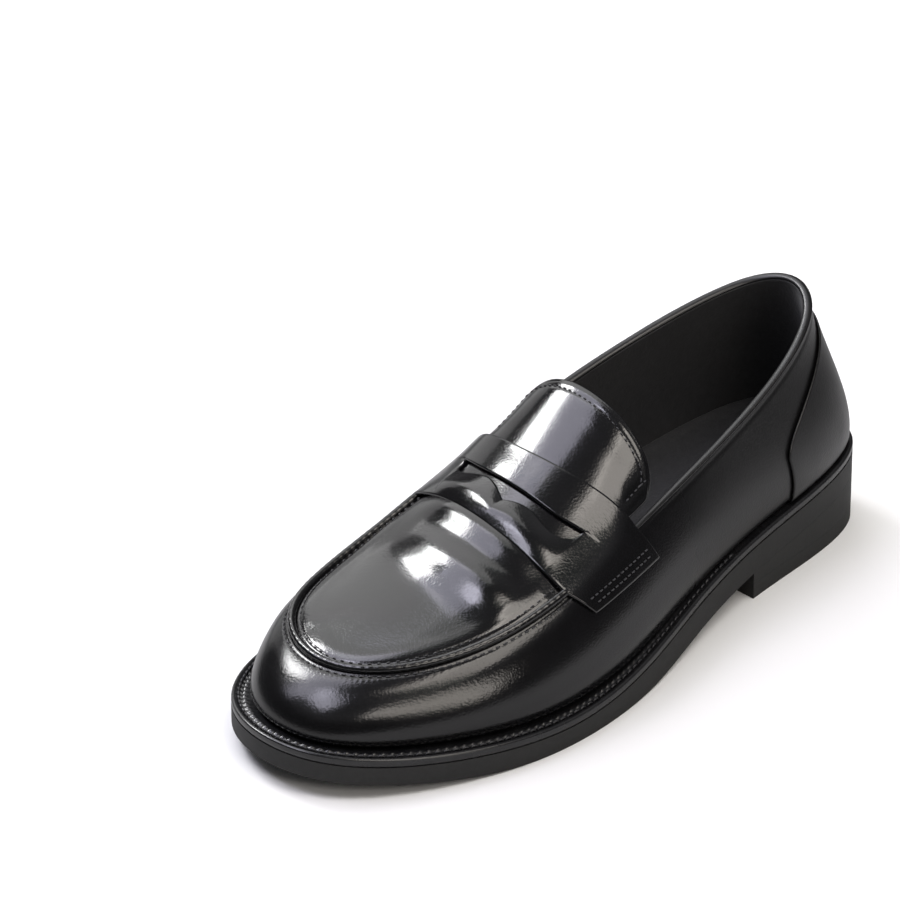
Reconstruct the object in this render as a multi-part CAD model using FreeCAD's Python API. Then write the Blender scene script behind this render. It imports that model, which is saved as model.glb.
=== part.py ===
import FreeCAD, Part
import math
import os

# A penny loafer, the wearer's left shoe, in millimetres.
# Frame: +Z up with the floor at 0, the toe towards -Y, the outer (lateral) side of the foot towards +X.
# The origin lies on the floor under the middle of the shoe's plan.
# The upper is one smooth surface in two parts. The wall runs round the whole shoe from the feather edge,
# where the upper meets the sole, up to the rim, which is the apron seam in front and the topline behind.
# The instep is the surface over the foot between the two sides of the rim.
# Every leather piece is a layer at a fixed distance from that surface.

V = FreeCAD.Vector

# ---- the sole: heights of its upper edge and of its tread, as (y, z) -----------------
SEAT_LINE = [(-150, 19.3), (-115, 14.5), (-80, 11.6), (-45, 10.6), (-5, 14.0), (30, 19.3),
             (70, 24.3), (108, 28.2), (152, 32.5)]
TREAD_LINE = [(-150, 9.2), (-115, 4.2), (-80, 0.6), (-55, 0.0), (-30, 0.0), (-5, 0.6), (15, 2.9),
              (35, 6.2), (52, 8.6), (70, 10.8), (108, 15.5), (152, 21.0)]

# ---- the upper: control points round the shoe, from the back of the heel by the outer side to the toe ----
# (x, y) of the sole edge; width of the welt outside the upper; (x, y, z) of the rim;
# (out, up) of the bulge above the feather edge; (out, down) of the shoulder below the rim.
STATIONS = [
    ((0, 151.3), 3.0, (-2, 138.6, 92.5), (3, 16), (3, 20)),
    ((26.2, 144.8), 3.4, (15.6, 127, 88), (2.2, 16), (1.6, 19)),
    ((35.3, 112), 3.0, (25, 101.4, 78.5), (4.5, 16), (4.6, 18)),
    ((38, 73), 3.0, (31, 68, 69), (5.5, 15), (4, 16)),
    ((46.5, 31), 4.0, (36, 27, 60), (6, 14), (6, 13)),
    ((60, -13), 5.0, (43.5, -16, 53.5), (5, 13), (9, 8)),
    ((64, -59.5), 6.0, (46.5, -60, 44), (4.5, 12), (9, 7)),
    ((52, -102), 7.0, (33.5, -94, 38), (4, 10), (10, 4)),
    ((31, -137), 7.5, (17.5, -112, 37), (3.5, 10), (12, 3)),
    ((3, -145), 7.5, (1, -116, 36.3), (3, 10), (11, 2.5)),
    ((-27, -135), 7.5, (-18, -110, 36.7), (2, 10), (8, 3)),
    ((-47.5, -103), 7.0, (-34, -93, 38.3), (2.5, 10), (7, 4)),
    ((-54, -61), 6.0, (-37, -60, 42.5), (4, 12), (8, 6)),
    ((-49, -15), 5.0, (-37, -15, 54), (5, 14), (8, 8)),
    ((-39.5, 29), 4.0, (-38.5, 25, 63.5), (5.5, 15), (5, 13)),
    ((-36.5, 71), 3.0, (-36.5, 65, 72.5), (5.5, 16), (3, 16)),
    ((-35.2, 110), 2.8, (-28.8, 101.2, 82.5), (4.8, 16), (4.4, 18)),
    ((-26.8, 143.8), 3.2, (-20.8, 131.5, 88.5), (3, 16), (3, 19)),
]

# ---- the instep: height over its middle line, sideways tilt and roundness, against y ----
MIDDLE_X = 2.0
CROWN = [(-120, 35.0), (-112, 37.3), (-90, 43.4), (-60, 51.8), (-36, 61.7), (-6, 73.6), (8, 81.0),
         (22, 88.3), (30, 92.0)]
TILT = [(-120, 0.0), (-90, 0.0), (-55, 0.03), (-35, 0.03), (-10, -0.01), (0, -0.04), (10, -0.075),
        (30, -0.1)]
ROUND = [(-120, 0.0040), (-85, 0.0040), (-60, 0.0049), (-38, 0.0072), (-10, 0.0092), (10, 0.0085),
         (30, 0.0080)]
SIDES = [(-45, 0.0), (-30, 0.4e-6), (-10, 0.9e-6), (0, 2.4e-6), (10, 5.5e-6), (30, 6.5e-6)]

# ---- leather layers, as distances outside (+) or inside (-) the surface ----
OUTER = (0.0, -1.4)
MIDDLE = (-1.65, -2.35)
LINING = (-2.5, -3.4)
INSTEP_LINING = (-1.5, -2.4)
OVERLAY = (0.3, 1.45)
STRAP = (0.4, 1.85)
SEAM_GAP = 1.6

# ---- the middle of the shoe's plan in the coordinates used below; the finished pieces are moved so that
# it becomes the origin ----
PLAN_MIDDLE = (4.9, 3.5)

# ---- the sole pieces ----
WELT_THICKNESS = 3.2
LIFT_THICKNESS = 6.0
BREAST_Y = 66.0
INSOLE_THICKNESS = 3.0
SOCK_THICKNESS = 0.9
INSOLE_INSET = 3.7
WELT_INSET = 4.2
FIT = 0.05
SPARE_ROWS = 3
SHANK_HALF_WIDTH = 6.5
SHANK_Y = (-12.0, 92.0)
SHANK_DEPTH = (-2.4, -1.0)
PAD_MIDDLE = (-1.0, 108.0)
PAD_RADII = (20.0, 26.0)
PAD_LEVEL = 1.4
NAIL_RADIUS = 1.1
NAIL_LENGTH = 19.0
SOLE_EDGE_RADIUS = 1.6
WELT_EDGE_RADIUS = 0.9
LIFT_EDGE_RADIUS = 1.2

# ---- where the pieces end: u runs round the shoe, 0 at the heel back, 0.5 at the toe ----
COUNTER_U = 0.1365
COUNTER_FRONT_V = 0.42
COUNTER_RISE_V = 0.39
STIFFENER_U = 0.128
PUFF_U = 0.405
QUARTER_LINING_U = 0.20
STRAP_FRONT = (-38.5, -27.0, -4.4)
STRAP_REAR = (1.7, 4.0, -9.8)
STRAP_WING = (0.69, 0.675)
STRAP_WING_LEAN = (0.0095, 0.0047)
FEATHER_V = 0.012
STIFFENER_V = 0.02
STIFFENER_TOP_V = 0.80
DOUBLER_V = 0.03
PUFF_GAP = 7.0
DOUBLER_GAP = 4.0
APRON_REAR = (-12.0, -9.0, -3.5)
APRON_LINING_REAR = (-13.0, -10.0, -3.5)

# ---- rolls, bindings and threads ----
PIPING_RADII = (1.3, 1.5)
PIPING_RISE = 0.25
BINDING_RADII = (1.75, 0.85)
BINDING_IN = 1.7
BINDING_DOWN = 0.65
THREAD = 0.35
INNER_STITCH_INSET = 3.4
OUTER_STITCH_GAP = 4.2
TONGUE_STITCH_INSET = 3.0
WELT_STITCH_INSET = 2.6
WELT_STITCH_U = (0.185, 0.815)
TONGUE_SIDES = (-31.0, 36.5)
TONGUE_FRONT = (-2.0, -9.0)
TONGUE_TOP = (22.9, 18.2)
TONGUE_TOP_RISE = 0.9
TONGUE_CORNER = 7.0


# ---------------------------------------------------------------- curves and the surface

def natural_spline(points):
    """A function through (position, value) points, smooth between them and straight beyond its ends."""
    xs = [p[0] for p in points]
    ys = [p[1] for p in points]
    n = len(xs)
    h = [xs[i + 1] - xs[i] for i in range(n - 1)]
    low = [0.0] * n
    mid = [1.0] * n
    high = [0.0] * n
    bend = [0.0] * n
    for i in range(1, n - 1):
        low[i] = h[i - 1]
        mid[i] = 2 * (h[i - 1] + h[i])
        high[i] = h[i]
        bend[i] = 6 * ((ys[i + 1] - ys[i]) / h[i] - (ys[i] - ys[i - 1]) / h[i - 1])
    for i in range(1, n):
        m = low[i] / mid[i - 1]
        mid[i] -= m * high[i - 1]
        bend[i] -= m * bend[i - 1]
    k = [0.0] * n
    for i in range(n - 2, 0, -1):
        k[i] = (bend[i] - high[i] * k[i + 1]) / mid[i]

    def at(x):
        if x <= xs[0]:
            slope = (ys[1] - ys[0]) / h[0] - h[0] * k[1] / 6
            return ys[0] + slope * (x - xs[0])
        if x >= xs[-1]:
            slope = (ys[-1] - ys[-2]) / h[-1] + h[-1] * k[-2] / 6
            return ys[-1] + slope * (x - xs[-1])
        i = next(j for j in range(n - 1) if x <= xs[j + 1])
        q = (x - xs[i]) / h[i]
        p = 1 - q
        return p * ys[i] + q * ys[i + 1] + h[i] ** 2 / 6 * ((p ** 3 - p) * k[i] + (q ** 3 - q) * k[i + 1])

    return at


seat_z = natural_spline(SEAT_LINE)
tread_line = natural_spline(TREAD_LINE)
crown_z = natural_spline(CROWN)
tilt = natural_spline(TILT)
roundness = natural_spline(ROUND)
side_drop = natural_spline(SIDES)


def tread_z(y):
    return max(0.0, tread_line(y))


def closed_curve(control, u):
    """The point at u, 0 to 1 round the loop, of these control points' closed uniform cubic B-spline."""
    n = len(control)
    s = (u % 1.0) * n
    i = int(s) % n
    t = s - int(s)
    weights = ((1 - t) ** 3 / 6, (3 * t ** 3 - 6 * t ** 2 + 4) / 6,
               (-3 * t ** 3 + 3 * t ** 2 + 3 * t + 1) / 6, t ** 3 / 6)
    total = V(0, 0, 0)
    for k in range(4):
        total = total + control[(i + k - 1) % n] * weights[k]
    return total


SOLE_CONTROL = [V(s[0][0], s[0][1], 0) for s in STATIONS]


def wall_control():
    """Four rings of control points: feather edge, bulge, shoulder and rim."""
    rings = [[], [], [], []]
    n = len(STATIONS)
    for i, (_, welt, rim_point, bulge, shoulder) in enumerate(STATIONS):
        along = SOLE_CONTROL[(i + 1) % n] - SOLE_CONTROL[i - 1]
        out = V(-along.y, along.x, 0).normalize()
        feather = SOLE_CONTROL[i] - out * welt
        feather.z = seat_z(feather.y)
        top = V(*rim_point)
        rings[0].append(feather)
        rings[1].append(feather + out * bulge[0] + V(0, 0, bulge[1]))
        rings[2].append(top + out * shoulder[0] - V(0, 0, shoulder[1]))
        rings[3].append(top)
    return rings


RINGS = wall_control()


def sole_edge(u):
    return closed_curve(SOLE_CONTROL, u)


def wall(u, v):
    """The wall's outer surface; v is 0 at the feather edge and 1 at the rim."""
    weights = ((1 - v) ** 3, 3 * v * (1 - v) ** 2, 3 * v * v * (1 - v), v ** 3)
    total = V(0, 0, 0)
    for ring, weight in zip(RINGS, weights):
        total = total + closed_curve(ring, u) * weight
    return total


def rim(u):
    return closed_curve(RINGS[3], u)


def wall_frame(u, v):
    """The wall's point, its outward normal and its upward direction."""
    e = 0.002
    along = wall(u + e, v) - wall(u - e, v)
    up = (wall(u, v + e) - wall(u, v - e)).normalize()
    return wall(u, v), along.cross(up).normalize() * -1, up


def wall_layer(u, v, distance):
    point, normal, _ = wall_frame(u, v)
    return point + normal * distance


def below_rim(u, gap):
    """The v at which the wall is this far below the rim."""
    return 1 - gap / (3 * (closed_curve(RINGS[3], u) - closed_curve(RINGS[2], u)).Length)


def instep(x, y):
    """The instep's outer surface above the plan point (x, y)."""
    s = x - MIDDLE_X
    drop = max(0.0, side_drop(y)) * s ** 4
    return V(x, y, crown_z(y) + tilt(y) * s - roundness(y) * s * s - drop)


def instep_layer(x, y, distance):
    e = 0.2
    across = instep(x + e, y) - instep(x - e, y)
    along = instep(x, y + e) - instep(x, y - e)
    return instep(x, y) + across.cross(along).normalize() * distance


def rim_u(y, lateral):
    """The u of the rim's point at this y, on the lateral or the medial side, ahead of the heel."""
    low, high = (0.1, 0.45) if lateral else (0.9, 0.55)
    for step in range(40):
        u = (low + high) / 2
        if rim(u).y > y:
            low = u
        else:
            high = u
    return (low + high) / 2


# ---------------------------------------------------------------- solids from surfaces

def surface(grid, spare=0):
    """The smooth surface through a grid of points, less the spare rows that only steady its ends."""
    s = Part.BSplineSurface()
    s.interpolate(grid)
    if spare:
        knots = s.getUKnots()
        v_start, v_end = s.bounds()[2:]
        s.segment(knots[spare], knots[-1 - spare], v_start, v_end)
    return s


def closed_solid(faces):
    shell = Part.Shell(faces)
    solid = Part.Solid(shell)
    if solid.Volume < 0:
        solid.reverse()
    return solid


def sheet(top_grid, bottom_grid, spare=0):
    """The solid between two grids of points; edges that already meet get no side face."""
    top = surface(top_grid, spare)
    bottom = surface(bottom_grid, spare)
    u0, u1, v0, v1 = top.bounds()
    p0, p1, q0, q1 = bottom.bounds()
    faces = [top.toShape(), bottom.toShape()]
    pairs = [(top.uIso(u0), bottom.uIso(p0)), (top.uIso(u1), bottom.uIso(p1)),
             (top.vIso(v0), bottom.vIso(q0)), (top.vIso(v1), bottom.vIso(q1))]
    for a, b in pairs:
        half_a = a.value((a.FirstParameter + a.LastParameter) / 2)
        half_b = b.value((b.FirstParameter + b.LastParameter) / 2)
        if (half_a - half_b).Length > 1e-4:
            faces.append(Part.makeRuledSurface(a.toShape(), b.toShape()))
    return closed_solid(faces)


def spread(start, end, count):
    return [start + (end - start) * i / (count - 1) for i in range(count)]


def wall_sheet(us, v_low, v_high, layer, rows=14):
    """A piece of the wall between v_low(u) and v_high(u), as thick as the layer."""
    step = us[1] - us[0]
    before = [us[0] - step * k for k in range(SPARE_ROWS, 0, -1)]
    after = [us[-1] + step * k for k in range(1, SPARE_ROWS + 1)]
    grids = []
    for distance in layer:
        grid = []
        for u in before + us + after:
            grid.append([wall_layer(u, v, distance) for v in spread(v_low(u), v_high(u), rows)])
        grids.append(grid)
    return sheet(grids[0], grids[1], SPARE_ROWS)


def instep_slab(x_range, y_range, layer, columns=27, rows=40):
    """A layer of the instep over a rectangle of the plan."""
    xs = spread(x_range[0], x_range[1], columns)
    ys = spread(y_range[0], y_range[1], rows)
    grids = []
    for distance in layer:
        grids.append([[instep_layer(x, y, distance) for y in ys] for x in xs])
    return sheet(grids[0], grids[1])


def curve_edge(points, closed=False):
    c = Part.BSplineCurve()
    c.interpolate(Points=points, PeriodicFlag=closed)
    return c.toShape()


def flat(points):
    return [V(p.x, p.y, 0) for p in points]


def plan_prism(edges, low=-20.0, high=130.0):
    """Everything above and below a closed outline in plan."""
    face = Part.Face(Part.Wire(edges))
    face.translate(V(0, 0, low))
    return face.extrude(V(0, 0, high - low))


def plan_inset(loop, distance, us):
    """Points of a plan loop moved inwards by a distance."""
    points = []
    for u in us:
        along = loop(u + 0.001) - loop(u - 0.001)
        out = V(-along.y, along.x, 0).normalize()
        p = loop(u)
        points.append(V(p.x, p.y, 0) - out * distance)
    return points


def ring_us(count=90):
    return [i / count for i in range(count)]


def layer_between(low_z, high_z, y_start=-175.0, y_end=175.0):
    """Everything between two heights that change with y."""
    ys = spread(y_start, y_end, 60)
    low = curve_edge([V(-90, y, low_z(y)) for y in ys])
    high = curve_edge([V(-90, y, high_z(y)) for y in ys])
    ends = [Part.makeLine(V(-90, y, low_z(y)), V(-90, y, high_z(y))) for y in (y_start, y_end)]
    face = Part.Face(Part.Wire(Part.sortEdges([low, high] + ends)[0]))
    return face.extrude(V(180, 0, 0))


def half_space(y_start, y_end):
    return Part.makeBox(200, y_end - y_start, 200, V(-100, y_start, -20))


def oval_point(centre, side, up, half_width, half_height, angle):
    return centre + side * (half_width * math.cos(angle)) + up * (half_height * math.sin(angle))


def cord(frames, half_width, half_height, sides=16):
    """An oval cord through frames of (centre, sideways, upwards)."""
    angles = [2 * math.pi * i / sides for i in range(sides)]
    grid = []
    for centre, side, up in frames:
        ring = [oval_point(centre, side, up, half_width, half_height, a) for a in angles]
        ring.append(ring[0])
        grid.append(ring)
    skin = surface(grid)
    caps = [Part.Face(Part.Wire([skin.uIso(u).toShape()])) for u in skin.bounds()[:2]]
    return closed_solid([skin.toShape()] + caps)


def thread(points, radius, sides=6):
    """A thread through the points, with flat sides."""
    sections = []
    angles = [2 * math.pi * k / sides for k in range(sides + 1)]
    last = len(points) - 1
    for i, p in enumerate(points):
        along = points[min(i + 1, last)] - points[max(i - 1, 0)]
        side = along.cross(V(0, 0, 1)).normalize()
        up = side.cross(along).normalize()
        sections.append(Part.makePolygon([oval_point(p, side, up, radius, radius, a) for a in angles]))
    return Part.makeLoft(sections, True, True)


def eased(solid, radius, wanted):
    """The solid with the wanted edges rounded, or unchanged if the edges cannot be rounded."""
    edges = [e for e in solid.Edges if wanted(e)]
    try:
        rounded = solid.makeFillet(radius, edges)
    except Exception:
        return solid
    if rounded.isValid() and 0 < rounded.Volume < solid.Volume:
        return rounded
    return solid


# ---------------------------------------------------------------- outlines

def sole_prism(inset=0.0):
    if inset == 0.0:
        points = flat([sole_edge(u) for u in ring_us()])
    else:
        points = plan_inset(sole_edge, inset, ring_us())
    return plan_prism([curve_edge(points, True)])


def feather(u):
    return closed_curve(RINGS[0], u)


def feather_prism(inset):
    return plan_prism([curve_edge(plan_inset(feather, inset, ring_us()), True)])


def raised(line, height):
    return lambda y: line(y) + height


def apron_outline(inset, rear_lateral, rear_medial, rear_bow):
    """The plan of the apron: inside the rim in front, and across under the strap behind."""
    us = spread(rim_u(rear_lateral, True), rim_u(rear_medial, False), 61)
    seam = plan_inset(rim, inset, us)
    back = []
    for t in spread(0, 1, 9):
        p = seam[-1] + (seam[0] - seam[-1]) * t
        back.append(V(p.x, p.y + rear_bow * 4 * t * (1 - t), 0))
    return [curve_edge(seam), curve_edge(back)]


def rounded_corner(before, corner, after, radius):
    """The start, middle and end of the arc that rounds a corner of a plan."""
    back = (before - corner).normalize()
    ahead = (after - corner).normalize()
    half_angle = back.getAngle(ahead) / 2
    centre = corner + (back + ahead).normalize() * (radius / math.sin(half_angle))
    reach = radius / math.tan(half_angle)
    return corner + back * reach, centre + (corner - centre).normalize() * radius, corner + ahead * reach


def tongue_outline(inset=0.0):
    """The plan of the tongue: bowed front edge under the strap, straight sides, rounded top corners."""
    left = TONGUE_SIDES[0] + inset
    right = TONGUE_SIDES[1] - inset
    front_y = TONGUE_FRONT[0] + inset
    radius = TONGUE_CORNER - inset
    front = []
    for t in spread(0, 1, 9):
        front.append(V(left + (right - left) * t, front_y + TONGUE_FRONT[1] * 4 * t * (1 - t), 0))
    top_left = V(left, TONGUE_TOP[0] - inset, 0)
    top_right = V(right, TONGUE_TOP[1] - inset, 0)
    left_arc = rounded_corner(front[0], top_left, top_right, radius)
    right_arc = rounded_corner(top_left, top_right, front[-1], radius)
    top_middle = (left_arc[2] + right_arc[0]) * 0.5 + V(0, TONGUE_TOP_RISE, 0)
    return [curve_edge(front), Part.makeLine(front[-1], right_arc[2]), Part.Arc(*right_arc).toShape(),
            Part.Arc(right_arc[0], top_middle, left_arc[2]).toShape(), Part.Arc(*left_arc).toShape(),
            Part.makeLine(left_arc[0], front[0])]


def slot_outline():
    """The coin slot: bowed, with two lobes and a point between them in front, and a hook at each end."""
    left = V(-27, -12, 0)
    point = V(4.5, -27.4, 0)
    right = V(34, -16.5, 0)
    rear_edge = curve_edge([left, V(-17, -16.2, 0), V(-6, -18.9, 0), V(6, -20.3, 0), V(17, -20.6, 0),
                            V(26, -19.6, 0), right])
    left_lobe = curve_edge([left, V(-26.5, -17.2, 0), V(-21, -19.6, 0), V(-12.5, -20.3, 0),
                            V(-5, -22.1, 0), V(1, -25.3, 0), point])
    right_lobe = curve_edge([point, V(9.5, -25.8, 0), V(16, -25.2, 0), V(23, -26.4, 0),
                             V(29.5, -26.0, 0), V(33.4, -22.4, 0), right])
    return [rear_edge, left_lobe, right_lobe]


# ---------------------------------------------------------------- the strap

WING_STEPS = 5
MIDDLE_STEPS = 28


def strap_row(b):
    """Points along the strap from its lateral to its medial end; b is 0 in front and 1 at the rear."""
    lateral_y = STRAP_FRONT[0] + (STRAP_REAR[0] - STRAP_FRONT[0]) * b
    medial_y = STRAP_FRONT[1] + (STRAP_REAR[1] - STRAP_FRONT[1]) * b
    bow = STRAP_FRONT[2] + (STRAP_REAR[2] - STRAP_FRONT[2]) * b
    end_v = STRAP_WING[0] + (STRAP_WING[1] - STRAP_WING[0]) * b
    shift = STRAP_WING_LEAN[0] + (STRAP_WING_LEAN[1] - STRAP_WING_LEAN[0]) * b
    points = []
    u = rim_u(lateral_y, True)
    for i in range(WING_STEPS):
        t = i / WING_STEPS
        points.append(wall(u - shift * (1 - t), end_v + (1 - end_v) * t))
    start = rim(u)
    medial = rim_u(medial_y, False)
    end = rim(medial)
    for i in range(MIDDLE_STEPS + 1):
        t = i / MIDDLE_STEPS
        p = start + (end - start) * t
        on_top = instep(p.x, p.y + bow * 4 * t * (1 - t))
        near_rim = max(0.0, 1 - min(t, 1 - t) * 8)
        miss = (start.z - instep(start.x, start.y).z) if t < 0.5 else (end.z - instep(end.x, end.y).z)
        points.append(on_top + V(0, 0, miss * near_rim ** 2))
    for i in range(1, WING_STEPS + 1):
        t = i / WING_STEPS
        points.append(wall(medial + shift * t, 1 - (1 - end_v) * t))
    return points


def offset_grid(grid, distance):
    """A grid of points moved along its own outward normals."""
    rows, columns = len(grid), len(grid[0])
    moved = []
    for i in range(rows):
        row = []
        for j in range(columns):
            a = grid[min(i + 1, rows - 1)][j] - grid[max(i - 1, 0)][j]
            b = grid[i][min(j + 1, columns - 1)] - grid[i][max(j - 1, 0)]
            row.append(grid[i][j] + a.cross(b).normalize() * distance)
        moved.append(row)
    return moved


STRAP_GRID = [strap_row(b) for b in spread(0, 1, 9)]


# ---------------------------------------------------------------- the pieces

def make_outsole():
    body = sole_prism().common(layer_between(tread_z, raised(seat_z, -WELT_THICKNESS - FIT)))

    def lower_outline(edge):
        middle = edge.CenterOfMass
        return edge.Length > 200 and middle.z < seat_z(middle.y) - 8

    return eased(body, SOLE_EDGE_RADIUS, lower_outline)


def make_welt():
    ring = sole_prism().cut(feather_prism(WELT_INSET))
    levels = layer_between(raised(seat_z, -WELT_THICKNESS), seat_z)
    body = ring.common(levels).common(half_space(-200, BREAST_Y))
    return eased(body, WELT_EDGE_RADIUS, lambda e: e.Length > 350 and e.CenterOfMass.z > 0)


def make_heel_rand():
    ring = sole_prism().cut(feather_prism(WELT_INSET))
    body = ring.common(layer_between(raised(seat_z, -WELT_THICKNESS), seat_z))
    return body.common(half_space(BREAST_Y + 0.1, 200))


def heel_prism():
    left = V(-80, BREAST_Y - 2, 0)
    right = V(80, BREAST_Y - 2, 0)
    bow = Part.Arc(left, V(0, BREAST_Y + 3, 0), right).toShape()
    corners = [right, V(80, 200, 0), V(-80, 200, 0), left]
    sides = [Part.makeLine(a, b) for a, b in zip(corners, corners[1:])]
    return plan_prism([bow] + sides)


def make_heel_block():
    body = sole_prism().common(heel_prism())
    return body.common(layer_between(lambda y: LIFT_THICKNESS + FIT, raised(tread_z, -FIT)))


def make_top_lift():
    slab = Part.makeBox(400, 400, LIFT_THICKNESS, V(-200, -200, 0))
    body = sole_prism().common(heel_prism()).common(slab)
    return eased(body, LIFT_EDGE_RADIUS, lambda e: e.Length > 120 and e.CenterOfMass.z < 0.1)


def shank_shape(grow):
    """A flat steel strip through the waist, following the sole."""
    half = SHANK_HALF_WIDTH + grow
    front = SHANK_Y[0] - grow
    rear = SHANK_Y[1] + grow
    skew = 1.5
    corners = [V(-half, front, 0), V(half, front, 0), V(half - skew, rear, 0), V(-half - skew, rear, 0)]
    outline = [Part.makeLine(corners[i], corners[(i + 1) % 4]) for i in range(4)]
    levels = layer_between(raised(seat_z, SHANK_DEPTH[0] - grow), raised(seat_z, SHANK_DEPTH[1] + grow))
    return plan_prism(outline).common(levels)


def pad_shape(grow):
    """A soft oval pad let into the insole under the heel."""
    middle = V(PAD_MIDDLE[0], PAD_MIDDLE[1], 0)
    length_end = middle + V(0, PAD_RADII[1] + grow, 0)
    width_end = middle + V(PAD_RADII[0] + grow, 0, 0)
    ellipse = Part.Ellipse(length_end, width_end, middle).toShape()
    levels = layer_between(raised(seat_z, PAD_LEVEL - grow), raised(seat_z, INSOLE_THICKNESS + grow))
    return plan_prism([ellipse]).common(levels)


def make_insole():
    levels = layer_between(raised(seat_z, FIT), raised(seat_z, INSOLE_THICKNESS))
    body = feather_prism(INSOLE_INSET).common(levels)
    return body.cut(pad_shape(FIT)).cut(nail_group(NAIL_RADIUS + FIT))


def make_cork_filler():
    levels = layer_between(raised(seat_z, -WELT_THICKNESS + FIT), raised(seat_z, -FIT))
    body = feather_prism(WELT_INSET + FIT).common(levels)
    return body.cut(shank_shape(FIT)).cut(nail_group(NAIL_RADIUS + FIT))


def make_sock_lining():
    sock_top = raised(seat_z, INSOLE_THICKNESS + SOCK_THICKNESS)
    levels = layer_between(raised(seat_z, INSOLE_THICKNESS + FIT), sock_top)
    return feather_prism(INSOLE_INSET + 0.6).common(levels)


NAILS = [(-14, 96), (13, 96), (-17, 118), (16, 118), (-1, 136)]


def nail_group(radius):
    """The heel nails, driven from the insole down into the heel block."""
    solids = []
    for x, y in NAILS:
        length = NAIL_LENGTH + radius - NAIL_RADIUS
        top = seat_z(y) + 1.0
        solids.append(Part.makeCylinder(radius, length, V(x, y, top - length)))
    return Part.makeCompound(solids)


def make_vamp_quarter():
    us = spread(0.0015, 0.9985, 150)
    return wall_sheet(us, lambda u: FEATHER_V, lambda u: below_rim(u, SEAM_GAP), OUTER)


def make_vamp_lining():
    us = spread(QUARTER_LINING_U + 0.003, 1 - QUARTER_LINING_U - 0.003, 90)
    return wall_sheet(us, lambda u: FEATHER_V, lambda u: below_rim(u, SEAM_GAP + 0.8), LINING)


def make_quarter_lining():
    us = spread(-QUARTER_LINING_U, QUARTER_LINING_U, 70)
    return wall_sheet(us, lambda u: FEATHER_V, lambda u: below_rim(u, SEAM_GAP), LINING)


def make_toe_puff():
    us = spread(PUFF_U, 1 - PUFF_U, 36)
    return wall_sheet(us, lambda u: STIFFENER_V, lambda u: below_rim(u, PUFF_GAP), MIDDLE)


def make_counter_stiffener():
    us = spread(-STIFFENER_U, STIFFENER_U, 44)
    return wall_sheet(us, lambda u: STIFFENER_V, lambda u: STIFFENER_TOP_V - 18 * u * u, MIDDLE)


def make_side_doubler(lateral):
    start, end = STIFFENER_U + 0.006, PUFF_U - 0.006
    if lateral:
        us = spread(start, end, 50)
    else:
        us = spread(1 - end, 1 - start, 50)
    return wall_sheet(us, lambda u: DOUBLER_V, lambda u: below_rim(u, DOUBLER_GAP), MIDDLE)


def counter_top(angle):
    """The counter cover's top edge as (u, v) at an angle from the heel back towards its front edge."""
    return COUNTER_U * math.sin(angle), COUNTER_FRONT_V + COUNTER_RISE_V * math.cos(angle)


def make_counter_cover():
    grids = []
    for distance in OVERLAY:
        grid = []
        for angle in spread(-math.pi / 2, math.pi / 2, 61):
            u, top = counter_top(angle)
            grid.append([wall_layer(u, v, distance) for v in spread(FEATHER_V, top, 14)])
        grids.append(grid)
    return sheet(grids[0], grids[1])


def make_apron():
    slab = instep_slab((-50, 56), (-122, -2), OUTER)
    return slab.common(plan_prism(apron_outline(SEAM_GAP, *APRON_REAR)))


def make_apron_lining():
    slab = instep_slab((-50, 56), (-122, -2), INSTEP_LINING)
    return slab.common(plan_prism(apron_outline(SEAM_GAP + 2.6, *APRON_LINING_REAR)))


def make_tongue():
    slab = instep_slab((-40, 46), (-16, 30), OUTER, 30, 24)
    return slab.common(plan_prism(tongue_outline()))


def make_tongue_lining():
    slab = instep_slab((-40, 46), (-16, 30), INSTEP_LINING, 30, 24)
    return slab.common(plan_prism(tongue_outline(0.6)))


def make_saddle_strap():
    top = offset_grid(STRAP_GRID, STRAP[1])
    bottom = offset_grid(STRAP_GRID, STRAP[0])
    return sheet(top, bottom).cut(plan_prism(slot_outline()))


def make_apron_piping():
    """The raised roll of leather that stands along the apron seam."""
    frames = []
    start = rim_u(STRAP_FRONT[0] - 1.5, True)
    end = rim_u(STRAP_FRONT[1] - 2.0, False)
    for u in spread(start, end, 80):
        point, normal, up = wall_frame(u, 0.999)
        frames.append((point + normal * PIPING_RISE, up * -1, normal))
    return cord(frames, *PIPING_RADII)


def make_topline_binding():
    """The folded edge that closes the leather and the lining along the opening."""
    frames = []
    start = rim_u(STRAP_REAR[0] + 2.5, True)
    end = rim_u(STRAP_REAR[1] + 2.5, False) - 1.0
    for u in spread(end, start, 80):
        point, normal, up = wall_frame(u, 0.999)
        frames.append((point - normal * BINDING_IN - up * BINDING_DOWN, normal, up))
    return cord(frames, *BINDING_RADII)


def make_apron_thread_inner():
    us = spread(rim_u(STRAP_FRONT[0] - 1.5, True), rim_u(STRAP_FRONT[1] - 2.0, False), 60)
    points = [instep_layer(p.x, p.y, THREAD + 0.02) for p in plan_inset(rim, INNER_STITCH_INSET, us)]
    return thread(points, THREAD)


def make_apron_thread_outer():
    us = spread(rim_u(STRAP_FRONT[0] - 1.5, True), rim_u(STRAP_FRONT[1] - 2.0, False), 60)
    return thread([wall_layer(u, below_rim(u, OUTER_STITCH_GAP), THREAD + 0.02) for u in us], THREAD)


def make_strap_thread():
    """Two rows of stitches across each end of the strap."""
    top = offset_grid(STRAP_GRID, STRAP[1] + THREAD + 0.05)
    rows = []
    for column in (1, 2, -3, -2):
        rows.append(thread([row[column] for row in top[1:-1]], THREAD))
    return Part.makeCompound(rows)


def make_tongue_thread():
    """A row of stitches round the free edge of the tongue."""
    wire = Part.Wire(tongue_outline(TONGUE_STITCH_INSET)[1:])
    points = []
    for p in wire.discretize(40):
        points.append(instep_layer(p.x, p.y, THREAD + 0.02))
    return thread(points, THREAD)


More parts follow.
